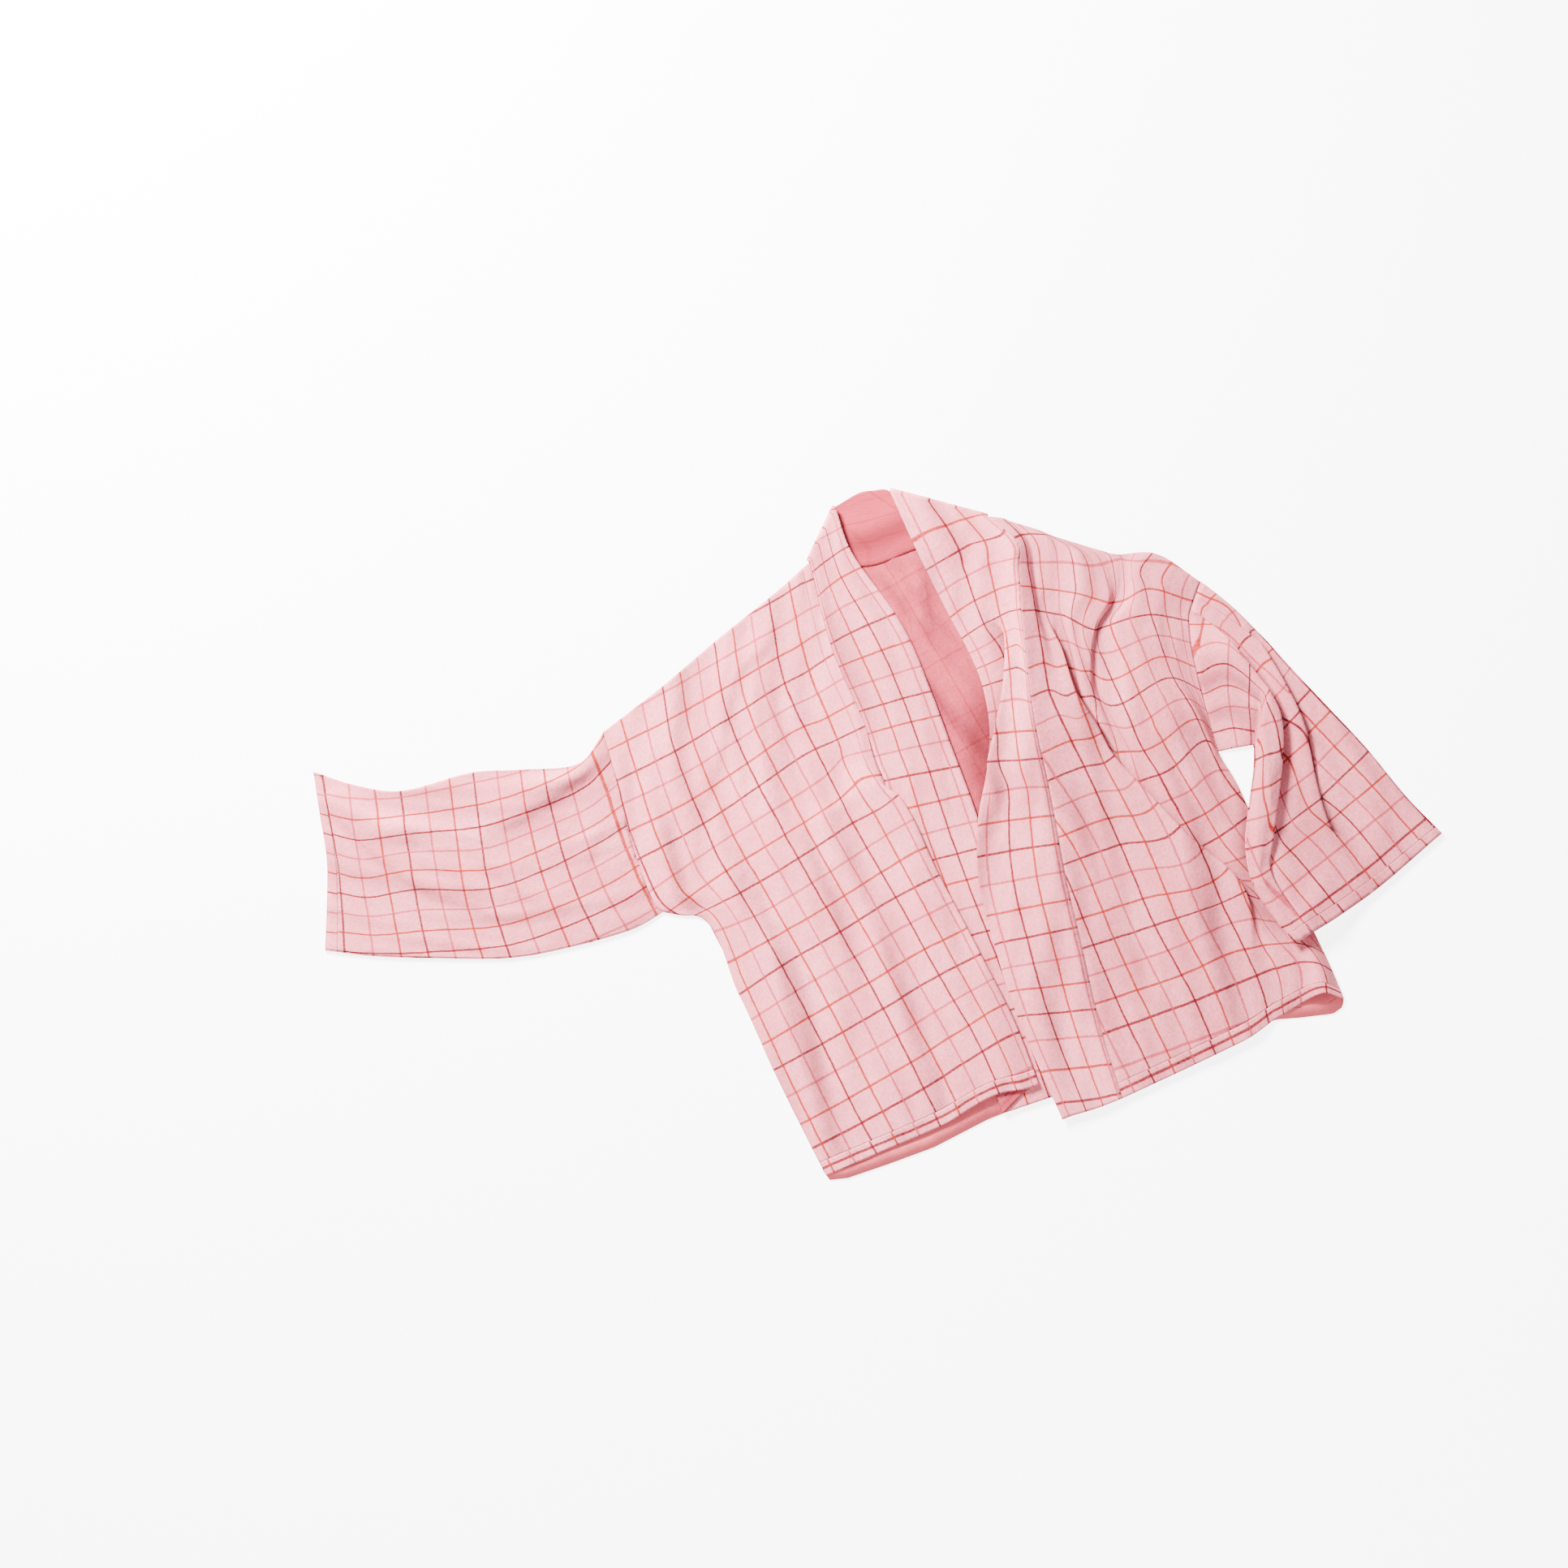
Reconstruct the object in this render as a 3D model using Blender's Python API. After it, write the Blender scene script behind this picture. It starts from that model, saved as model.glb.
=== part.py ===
"""An open-front kimono jacket in checked double cloth, laid flat on its back.

The tables hold places on the laid jacket in millimetres: x to its left sleeve, y to its neck, z up.
Each row is one section across a cut piece. Smooth curves through the rows make the cloth's middle
surface, and each piece is a wall of even thickness about that surface.
"""

import bpy
import math
import numpy as np

MM = 0.001

# Cloth
CLOTH = 1.6
BAND_CLOTH = 2.4
SEAM_GAP = 0.3
BACK_LEVEL = CLOTH / 2
FRONT_LEVEL = CLOTH + 0.5 + CLOTH / 2
BAND_LEVEL = CLOTH + 0.5 + BAND_CLOTH / 2
OVER_BAND = CLOTH + BAND_CLOTH + 0.9 + CLOTH / 2
SIDE_LEVEL = CLOTH + SEAM_GAP + CLOTH / 2
SLEEVE_TOP_LEVEL = 3.6
TURN_STEPS = 6
FRONT_TURN = (0, 60, 120, 180)
BAND_TURN = (0, 90, 180)
TURN_HEIGHT = 4.0
OVERHANG = 2.5
LOWER_POINTS = 7

# Wearer's right front. down: distance below the neck point along the warp. Pairs are x, y of the side
# edge, three warps 70 apart, the rolled ridge and the neckband seam. folded: 0 where the front is flat,
# 1 where it turns under at the ridge and lies on the neckband. room: how far the neckband keeps clear.
FRONT_RIGHT_COLUMNS = "down side warp_1 warp_2 warp_3 ridge seam folded room"
FRONT_RIGHT = (
    (0, (-286, 108), (-224, 156), (-170, 202), (-113, 248), (-89, 268), (-70, 286), 0, 0),
    (113, (-272, 57), (-211, 88), (-155, 122), (-96, 159), (-68, 174), (-45, 190), 0, 0),
    (206, (-250, -26), (-181, 12), (-123, 51), (-64, 90), (-34, 103), (-12, 114), 0, 0),
    (262, (-224, -80), (-160, -33), (-98, 5), (-40, 43), (-7, 73), (3, 68), 0.2, 0.5),
    (272, (-215, -82), (-155, -41), (-94, -3), (-36, 35), (2, 62), (4.5, 60), 0.4, 4),
    (285, (-203, -84), (-149, -50), (-88, -13), (-31, 24), (14, 50), (4, 44), 0.9, 10),
    (298, (-191, -84), (-143, -60), (-82, -24), (-25, 13), (22, 42), (11, 28), 1, 4),
    (391, (-144, -167), (-99, -137), (-38, -101), (20, -65), (65, -42), (46, -60), 1, 0),
    (483, (-108, -246), (-57, -218), (7, -181), (65, -146), (108, -124), (80, -146), 1, 0),
    (575, (-68, -327), (-16, -300), (49, -264), (110, -225), (148, -205), (112, -236), 1, 0),
    (622, (-53, -356), (2, -332), (69, -303), (130, -269), (169, -260), (132, -291), 1, 0),
)

# Wearer's left front. Two folds lean over the cloth beside them: each has its edge, the place where the
# cloth shows again, and its lift. crest is the high line before the armhole and the side.
FRONT_LEFT_COLUMNS = (
    "down seam warp fold fold_end lift flap flap_end flap_lift crest crest_lift side seam_lift"
)
FRONT_LEFT = (
    (0, (116, 333), (132, 331), (150, 325), (165, 321), 0,
     (224, 297), (243, 295), 0, (288, 295), 4, (339, 265), 4),
    (21, (143, 310), (150, 313), (166, 312), (180, 310), 1,
     (234, 291), (250, 292), 3, (276, 280), 6, (337, 260), 9),
    (60, (148, 278), (158, 277), (174, 274), (188, 272), 2,
     (248, 253), (254, 252), 9, (280, 258), 6, (330, 240), 12),
    (113, (150, 234), (165, 235), (180, 233), (192, 231), 4,
     (230, 213), (235, 217), 11, (286, 230), 8, (327, 224), 15),
    (160, (155, 189), (172, 193), (194, 192), (204, 188), 8,
     (226, 182), (234, 177), 10, (297, 197), 9, (331, 188), 15),
    (206, (160, 144), (179, 151), (208, 150), (213, 145), 11,
     (231, 146), (238, 138), 8, (309, 164), 10, (340, 151), 15),
    (252, (168, 100), (196, 112), (228, 118), (240, 102), 11,
     (250, 104), (264, 100), 4, (331, 131), 11, (348, 120), 13),
    (298, (178, 57), (216, 72), (247, 83), (270, 57), 10,
     (283, 57), (297, 64), 0, (347, 98), 8, (357, 88), 10),
    (345, (187, 12), (235, 31), (282, 46), (305, 22), 10,
     (316, 22), (328, 30), 0, (362, 52), 5, (376, 56), 7),
    (391, (195, -31), (254, -10), (316, 9), (339, -13), 9,
     (346, -8), (356, -3), 0, (378, 12), 2, (392, 22), 4),
    (483, (215, -118), (290, -94), (385, -58), (398, -66), 7,
     (406, -68), (416, -71), 0, (434, -75), 0, (446, -78), 3),
    (575, (236, -207), (332, -172), (398, -145), (412, -140), 4,
     (428, -135), (440, -130), 5, (455, -131), 8, (477, -142), 2),
    (636, (257, -275), (356, -228), (404, -203), (417, -192), 4,
     (436, -177), (450, -168), 14, (468, -161), 17, (489, -172), 2),
)

# Neckband beside each front: its free edge, and how far its edges stand over the flat band. On the
# left, hump is the edge of a fold that leans over the band, foot the place where it comes down, and
# lift its height; free_lift carries the band over the other one.
BAND_RIGHT_COLUMNS = "down free free_lift seam_lift"
BAND_RIGHT = (
    (0, (-43, 342), 5, 3),
    (50, (-27, 297), 4, 1),
    (113, (21, 229), 2, 0),
    (206, (59, 145), 0, 0),
    (262, (79, 91), 0, 0),
    (298, (93, 54), 0, 0),
    (391, (124, -35), 0, 0),
    (483, (156, -118), 0, 0),
    (575, (190, -203), 0, 0),
    (622, (212, -264), 0, 0),
)
BAND_LEFT_COLUMNS = "down free free_lift hump foot lift"
BAND_LEFT = (
    (0, (14, 358), 5, (58, 347), (40, 352), 1),
    (21, (37, 307), 5, (82, 314), (66, 312), 1),
    (60, (55, 270), 3, (104, 280), (84, 276), 2),
    (113, (76, 229), 1, (124, 240), (106, 236), 5),
    (160, (94, 196), 0, (133, 204), (122, 200), 10),
    (206, (110, 158), 0, (132, 158), (126, 158), 11),
    (252, (118, 112), 0, (123, 110), (121, 111), 11),
    (298, (115, 68), 2, (114, 66), (118, 67), 10),
    (345, (106, 18), 3, (118, 18), (112, 18), 2),
    (391, (105, -31), 3.2, (122, -31), (112, -31), 0),
    (483, (125, -122), 3.2, (146, -121), (134, -121), 0),
    (575, (155, -209), 3.2, (180, -208), (166, -208), 0),
    (636, (194, -297), 3.2, (216, -290), (204, -293), 0),
)

# Neckband across the back of the neck, inside up: free edge and neck seam.
BAND_NECK_COLUMNS = "free seam"
BAND_NECK = (
    ((-43, 344), (-70, 286)),
    ((-19, 358), (-10, 281)),
    ((-2, 361), (36, 297)),
    ((8, 362), (76, 312)),
    ((14, 360), (110, 333)),
)
NECK_TURN = 3.2

# Sleeves: sections from armhole to cuff, five places from the lower edge to the upper edge. under is
# how far the lower layer is lifted at the lower edge, where the sleeve lies on the front.
SLEEVE_COLUMNS = "low low_mid middle high_mid high under"
SLEEVE_RIGHT = (
    ((-225, -81), (-243, -35), (-258, 14), (-270, 61), (-286, 106), 0),
    ((-258, -99), (-279, -57), (-293, -14), (-304, 31), (-313, 74), 0),
    ((-322, -117), (-340, -73), (-355, -28), (-366, 20), (-374, 68), 0),
    ((-385, -128), (-400, -84), (-411, -37), (-418, 13), (-425, 65), 0),
    ((-468, -128), (-477, -86), (-484, -43), (-490, 1), (-496, 46), 0),
    ((-526, -126), (-530, -86), (-536, -43), (-541, 3), (-546, 52), 0),
    ((-577, -120), (-575, -73), (-575, -26), (-582, 20), (-589, 66), 0),
)
SLEEVE_LEFT = (
    ((359, 88), (352, 133), (344, 182), (336, 222), (341, 264), 0),
    ((391, 94), (391, 130), (388, 165), (384, 199), (385, 230), 0),
    ((392, 52), (401, 88), (411, 122), (420, 156), (427, 184), 3),
    ((385, 3), (405, 37), (429, 73), (450, 110), (466, 140), 7),
    ((391, -45), (418, -15), (452, 20), (484, 59), (510, 92), 8),
    ((413, -84), (445, -56), (484, -22), (522, 14), (553, 41), 10),
    ((434, -112), (480, -87), (521, -58), (559, -25), (591, 2), 11),
)

# Soft ridges: a line of x, y with the height there and the reach of the slope on each side of it,
# left and right as one looks from its first row to its last.
RIDGE_COLUMNS = "x y height left right"
SHOULDER_RIDGE = (
    (-288, 104, 4, 14, 40),
    (-309, 74, 8, 14, 40),
    (-345, 44, 8, 16, 45),
    (-396, 14, 5, 18, 40),
    (-430, 0, 0, 20, 30),
)
CUFF_WAVE = (
    (-560, 40, 3, 14, 20),
    (-520, 10, 6, 14, 20),
    (-470, 2, 6, 16, 20),
    (-440, -40, 3, 16, 20),
    (-410, -80, 0, 16, 20),
)
SLEEVE_ROLL = (
    (336, 215, 6, 22, 60),
    (365, 198, 11, 20, 60),
    (391, 172, 14, 18, 40),
    (408, 130, 15, 17, 24),
    (409, 70, 15, 17, 20),
    (402, 10, 13, 17, 20),
    (404, -40, 8, 18, 20),
    (414, -70, 0, 18, 20),
)
BODY_RIDGES = (
    ((-120, 150, 0, 20, 20), (-90, 60, 3, 20, 20), (-20, -80, 4, 22, 22), (40, -200, 0, 24, 24)),
    ((-215, -40, 4, 8, 10), (-190, -50, 4, 10, 12), (-160, -40, 0, 12, 12)),
)

# Back: places round its outline, in stretches that meet at corners.
BACK_OUTLINE = (
    ((-281, 104), (-221, 150), (-167, 195), (-110, 241), (-74, 276)),
    ((116, 329), (150, 309), (187, 303), (236, 282), (298, 282), (333, 258)),
    ((384, 18), (432, -62), (461, -130), (479, -166)),
    ((470, -184), (445, -191), (419, -193), (340, -222), (255, -249), (187, -269), (116, -298),
     (60, -326), (11, -343), (-34, -357)),
    ((-48, -350), (-62, -324), (-102, -242), (-137, -167), (-179, -86), (-190, -76)),
)

COLOURS = {
    "pink_check": (0.83, 0.58, 0.61),
    "coral": (0.76, 0.30, 0.31),
}


def rows_of(columns, table):
    """The table's columns by name, each as an array."""
    names = columns.split()
    return {name: np.array([row[i] for row in table], float) for i, name in enumerate(names)}


def smooth(knots, values, at):
    """A smooth curve through values at rising knots, read at the places given."""
    knots = np.asarray(knots, float)
    values = np.asarray(values, float)
    at = np.asarray(at, float)
    slopes = np.gradient(values, knots, axis=0)
    k = np.clip(np.searchsorted(knots, at, side="right") - 1, 0, len(knots) - 2)
    span = knots[k + 1] - knots[k]
    t = (at - knots[k]) / span
    shape = (-1,) + (1,) * (values.ndim - 1)
    t = t.reshape(shape)
    span = span.reshape(shape)
    keep = (1 + 2 * t) * (1 - t) ** 2
    take = t * t * (3 - 2 * t)
    leave = t * (1 - t) ** 2 * span
    arrive = t * t * (t - 1) * span
    return keep * values[k] + take * values[k + 1] + leave * slopes[k] + arrive * slopes[k + 1]


def between(knots, counts):
    """Places at each knot and evenly between: counts gives the steps in each interval."""
    places = [np.linspace(a, b, n, endpoint=False) for a, b, n in zip(knots, knots[1:], counts)]
    return np.append(np.concatenate(places), knots[-1])


def at_level(points, height):
    """Plan points with a height added."""
    points = np.asarray(points, float)
    height = np.broadcast_to(np.asarray(height, float), points.shape[:-1])
    return np.concatenate([points, height[..., None]], axis=-1)


def fine_rows(columns, table, down):
    """The table's columns by name, read at the distances down the cloth."""
    t = rows_of(columns, table)
    return {name: smooth(t["down"], values, down) for name, values in t.items()}


def outward_of(edge, before):
    """Unit plan directions square to an edge line, away from the points before it."""
    line = np.gradient(edge, axis=0)
    out = np.stack([-line[:, 1], line[:, 0]], axis=1)
    out *= np.sign(np.sum(out * (edge - before), axis=1))[:, None]
    return out / np.linalg.norm(out, axis=1, keepdims=True)


def fold_columns(before, edge, end, high, low, folded, angles, doubled=True):
    """Columns of a fold whose edge leans over the cloth after it, down to its end.

    The cloth turns back under its edge and, where doubled, forward again at its foot. folded runs from
    0, where the same columns spread over a plain slope, to 1.
    """
    out = outward_of(edge, before)
    room = np.sum((edge - before) * out, axis=1)
    radius = (high - low) / (4 if doubled else 2)
    start = -np.minimum(radius + 8, radius + (room - radius) * 0.6)
    plan = [start]
    height = [high]
    for angle in np.radians(angles):
        plan.append(-radius * (1 - math.sin(angle)))
        height.append(high - radius * (1 - math.cos(angle)))
    if doubled:
        for angle in np.radians(angles):
            plan.append(-radius * (1 + math.sin(angle)) - OVERHANG * folded)
            height.append(high - radius * (3 - math.cos(angle)))
    first = edge + (before - edge) * np.clip(-start / room, 0, 1)[:, None]
    columns = []
    count = len(plan)
    for k in range(count):
        share = k / count
        slope = share * share * (3 - 2 * share)
        flat = at_level(first + (end - first) * share, high + (low - high) * slope)
        bent = at_level(edge + out * plan[k][:, None], height[k])
        columns.append(flat + (bent - flat) * folded[:, None])
    return columns + [at_level(end, low)]


def turned_share(lift, cloth):
    """How far a fold is turned under, from its lift: a low one is only a slope."""
    return np.clip((lift - 2.6 * cloth) / (2 * cloth), 0, 1)


def drape(stations, steps):
    """The grid of points of a piece: smooth curves across through its stations, row by row."""
    rows = []
    for row in np.stack(stations, axis=1):
        length = np.append(0, np.cumsum(np.linalg.norm(np.diff(row, axis=0), axis=1)))
        places = between(length, steps)
        line = smooth(length, row, places)
        k = np.clip(np.searchsorted(length, places, side="right") - 1, 0, len(length) - 2)
        ends = np.stack([row[k, 2], row[k + 1, 2]])
        line[:, 2] = np.clip(line[:, 2], ends.min(axis=0), ends.max(axis=0))
        rows.append(line)
    return np.array(rows)


def ridge_height(points, table):
    """Height of a soft ridge over plan points."""
    ridge = rows_of(RIDGE_COLUMNS, table)
    knots = np.arange(len(table))
    fine = np.linspace(0, knots[-1], 12 * knots[-1] + 1)
    line = smooth(knots, np.stack([ridge["x"], ridge["y"]], axis=1), fine)
    way = np.gradient(line, axis=0)
    way /= np.linalg.norm(way, axis=1, keepdims=True)
    offset = points[..., None, :2] - line
    distance = np.linalg.norm(offset, axis=-1)
    nearest = np.argmin(distance, axis=-1)
    near = np.take_along_axis(distance, nearest[..., None], axis=-1)[..., 0]
    across = np.take_along_axis(offset, nearest[..., None, None], axis=-2)[..., 0, :]
    ahead = way[nearest]
    on_left = ahead[..., 0] * across[..., 1] - ahead[..., 1] * across[..., 0] > 0
    height = np.interp(fine, knots, ridge["height"])[nearest]
    left = np.interp(fine, knots, ridge["left"])[nearest]
    right = np.interp(fine, knots, ridge["right"])[nearest]
    reach = np.where(on_left, left, right)
    return height * np.exp(-((near / reach) ** 2) * 1.6)


def normals_of(grid, closed=False, level_side=False):
    """Unit normals of a grid of points, closed round in its second direction if said.

    The first ring of a closed grid, and the last column of a front, face as if the cloth went level
    across the armhole seam, so that the two walls meet squarely.
    """
    down = np.gradient(grid, axis=0)
    if closed:
        across = (np.roll(grid, -1, axis=1) - np.roll(grid, 1, axis=1)) / 2
        plan = across[0, :, :2]
        square = np.stack([-plan[:, 1], plan[:, 0], np.zeros(len(plan))], axis=1)
        down[0] = square * np.sign(np.sum(square * down[0], axis=1))[:, None]
    else:
        across = np.gradient(grid, axis=1)
    if level_side:
        across[:, -1, 2] = 0
    normals = np.cross(down, across)
    return normals / np.linalg.norm(normals, axis=-1, keepdims=True)


def wall_faces(rows, columns, closed):
    """Faces of a wall whose outer points come first and inner points second, row by row."""
    size = rows * columns
    last = columns if closed else columns - 1
    faces = []
    for i in range(rows - 1):
        for j in range(last):
            a = i * columns + j
            b = i * columns + (j + 1) % columns
            for face in ((a, a + columns, b + columns), (a, b + columns, b)):
                faces.append(face)
                faces.append(tuple(corner + size for corner in reversed(face)))
    top = [j for j in range(columns)]
    bottom = [(rows - 1) * columns + j for j in range(columns)]
    if closed:
        rims = [top + [top[0]], (bottom + [bottom[0]])[::-1]]
    else:
        right = [i * columns + columns - 1 for i in range(rows)]
        left = [i * columns for i in range(rows)]
        rims = [top, right, bottom[::-1], left[::-1]]
    for rim in rims:
        for a, b in zip(rim, rim[1:]):
            faces.append((a, b, b + size, a + size))
    return faces


def add_solid(name, points, faces, colour):
    """One named solid in metres, with a material of its own."""
    mesh = bpy.data.meshes.new(name)
    mesh.from_pydata([tuple(p) for p in np.asarray(points) * MM], [], faces)
    mesh.update()
    mesh.shade_smooth()
    material = bpy.data.materials.new(name + "_cloth")
    material.use_nodes = True
    shader = material.node_tree.nodes["Principled BSDF"]
    shader.inputs["Base Color"].default_value = (*COLOURS[colour], 1.0)
    shader.inputs["Roughness"].default_value = 0.9
    shader.inputs["Metallic"].default_value = 0.0
    mesh.materials.append(material)
    piece = bpy.data.objects.new(name, mesh)
    bpy.context.scene.collection.objects.link(piece)
    return piece


def add_wall(name, grid, normals, thickness, colour, closed=False, turned=False):
    """A cloth wall of even thickness about a grid of middle points."""
    half = normals * thickness / 2
    if turned:
        half = -half
    points = np.concatenate([(grid + half).reshape(-1, 3), (grid - half).reshape(-1, 3)])
    faces = wall_faces(grid.shape[0], grid.shape[1], closed)
    if turned:
        faces = [face[::-1] for face in faces]
    return add_solid(name, points, faces, colour)


def pull_back(grid, column, neighbour, gap):
    """Moves one edge column of a grid towards its neighbour by the gap."""
    inward = grid[:, neighbour] - grid[:, column]
    inward /= np.linalg.norm(inward, axis=1, keepdims=True)
    grid[:, column] += inward * gap


def down_of(table, counts):
    """Distances down the cloth of a front's rows, with the steps between the table's rows."""
    return between([row[0] for row in table], counts)


DOWN_RIGHT = down_of(FRONT_RIGHT, (4, 4, 4, 1, 2, 2, 4, 4, 4, 3))
DOWN_LEFT = down_of(FRONT_LEFT, (1, 2, 2, 2, 2, 3, 3, 2, 2, 4, 4, 6))
ARMHOLE_RIGHT = 262
ARMHOLE_LEFT = 298


def front_right_grid():
    """The wearer's right front, which turns under at its ridge and comes back to the neckband."""
    t = fine_rows(FRONT_RIGHT_COLUMNS, FRONT_RIGHT, DOWN_RIGHT)
    raised = np.clip(t["folded"] * 2, 0, 1)
    folded = np.clip(t["folded"] * 2 - 1, 0, 1)
    low = FRONT_LEVEL + (OVER_BAND - FRONT_LEVEL) * folded
    high = FRONT_LEVEL + (OVER_BAND + TURN_HEIGHT - FRONT_LEVEL) * raised + 0.01
    fold = fold_columns(t["warp_3"], t["ridge"], t["seam"], high, low, folded, FRONT_TURN, False)
    rise = high - FRONT_LEVEL
    shares = ((1, 0), (2, 0.2), (3, 0.95))
    warps = [at_level(t[f"warp_{i}"], FRONT_LEVEL + rise * part) for i, part in shares]
    stations = [at_level(t["side"], SIDE_LEVEL), *warps, *fold]
    grid = drape(stations, (3, 3, 3, 2, 1, 1, 1, 1, 1))
    for ridge in BODY_RIDGES:
        grid[:, 1:, 2] += ridge_height(grid[:, 1:], ridge)
    return grid


def front_left_grid():
    """The wearer's left front, with its two overlapping folds."""
    t = fine_rows(FRONT_LEFT_COLUMNS, FRONT_LEFT, DOWN_LEFT)
    low = np.full(len(t["down"]), FRONT_LEVEL)
    folds = []
    for name, before in (("fold", t["warp"]), ("flap", t["fold_end"])):
        lift = np.maximum(t["lift" if name == "fold" else "flap_lift"], 0.01)
        folded = turned_share(lift, CLOTH)
        folds += fold_columns(before, t[name], t[name + "_end"], low + lift, low, folded, FRONT_TURN)
    seam_lift = np.maximum(t["seam_lift"], 0)
    seam = at_level(t["seam"], FRONT_LEVEL + seam_lift)
    warp = at_level(t["warp"], FRONT_LEVEL + (seam_lift + np.maximum(t["lift"], 0)) / 2)
    crest = at_level(t["crest"], FRONT_LEVEL + np.maximum(t["crest_lift"], 0))
    stations = [seam, warp, *folds, crest, at_level(t["side"], SIDE_LEVEL)]
    steps = (2, 2) + (1,) * 9 + (2,) + (1,) * 9 + (2, 4)
    grid = drape(stations, steps)
    grid[..., 2] = np.maximum(grid[..., 2], SIDE_LEVEL)
    return grid


def turn_rows(upper, lower, away):
    """Rows of the half turn from an upper layer to a lower one, bulging the way that is given."""
    rows = []
    for angle in np.linspace(0, math.pi, TURN_STEPS + 1)[1:-1]:
        swing = (1 - math.cos(angle)) / 2
        rows.append(upper + (lower - upper) * swing + away * NECK_TURN * math.sin(angle))
    return np.array(rows)


def neckband_grid(right_seam, left_seam):
    """The neckband: up the right front, over the fold at the neck, round the back and down the left."""
    right = fine_rows(BAND_RIGHT_COLUMNS, BAND_RIGHT, DOWN_RIGHT)
    left = fine_rows(BAND_LEFT_COLUMNS, BAND_LEFT, DOWN_LEFT)
    neck = rows_of(BAND_NECK_COLUMNS, BAND_NECK)
    steps = (2, 1, 1, 1, 1, 1, 1, 1, 1)
    share = np.linspace(0, 1, sum(steps) + 1)[:, None]

    free = at_level(right["free"], BAND_LEVEL + right["free_lift"])
    seam = at_level(right_seam[:, :2], BAND_LEVEL + right["seam_lift"])
    up_right = np.stack([s + (f - s) * share for s, f in zip(seam, free)])

    lift = np.maximum(left["lift"], 0.01)
    free_level = BAND_LEVEL + np.maximum(left["free_lift"], 0)
    fold = fold_columns(
        left_seam[:, :2], left["hump"], left["foot"], free_level + lift, free_level,
        turned_share(lift, BAND_CLOTH), BAND_TURN,
    )
    down_left = drape([left_seam, *fold, at_level(left["free"], free_level)], steps)

    knots = np.arange(len(neck["free"]))
    across_neck = np.linspace(0, knots[-1], 9)
    free = smooth(knots, at_level(neck["free"], BAND_CLOTH / 2), across_neck)
    seam = smooth(knots, at_level(neck["seam"], BAND_CLOTH / 2), across_neck)
    round_neck = np.stack([s + (f - s) * share for s, f in zip(seam, free)])

    first = turn_rows(up_right[0], round_neck[0], np.array([-0.91, 0.42, 0]))
    last = turn_rows(down_left[0], round_neck[-1], np.array([0.27, 0.96, 0]))[::-1]
    return np.concatenate([up_right[::-1], first, round_neck, last, down_left])


def along_line(line, distance):
    """Points of a plan line at distances from its start."""
    length = np.append(0, np.cumsum(np.linalg.norm(np.diff(line, axis=0), axis=1)))
    return np.stack([np.interp(distance, length, line[:, k]) for k in (0, 1)], axis=-1)


def armhole_edge(front, down, deepest, outward):
    """Plan points of a front's armhole edge from the underarm to the shoulder, moved over the gap."""
    count = int(np.sum(down <= deepest + 1e-6))
    return front[:count, -1, :2][::-1] + np.array([outward * SEAM_GAP, 0])


def inward_of(line, towards):
    """Unit plan directions square to a line, on the side of the points given."""
    way = np.gradient(line, axis=0)
    inward = np.stack([-way[:, 1], way[:, 0]], axis=1)
    inward *= np.sign(np.sum(inward * (towards - line), axis=1))[:, None]
    return inward / np.linalg.norm(inward, axis=1, keepdims=True)


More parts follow.
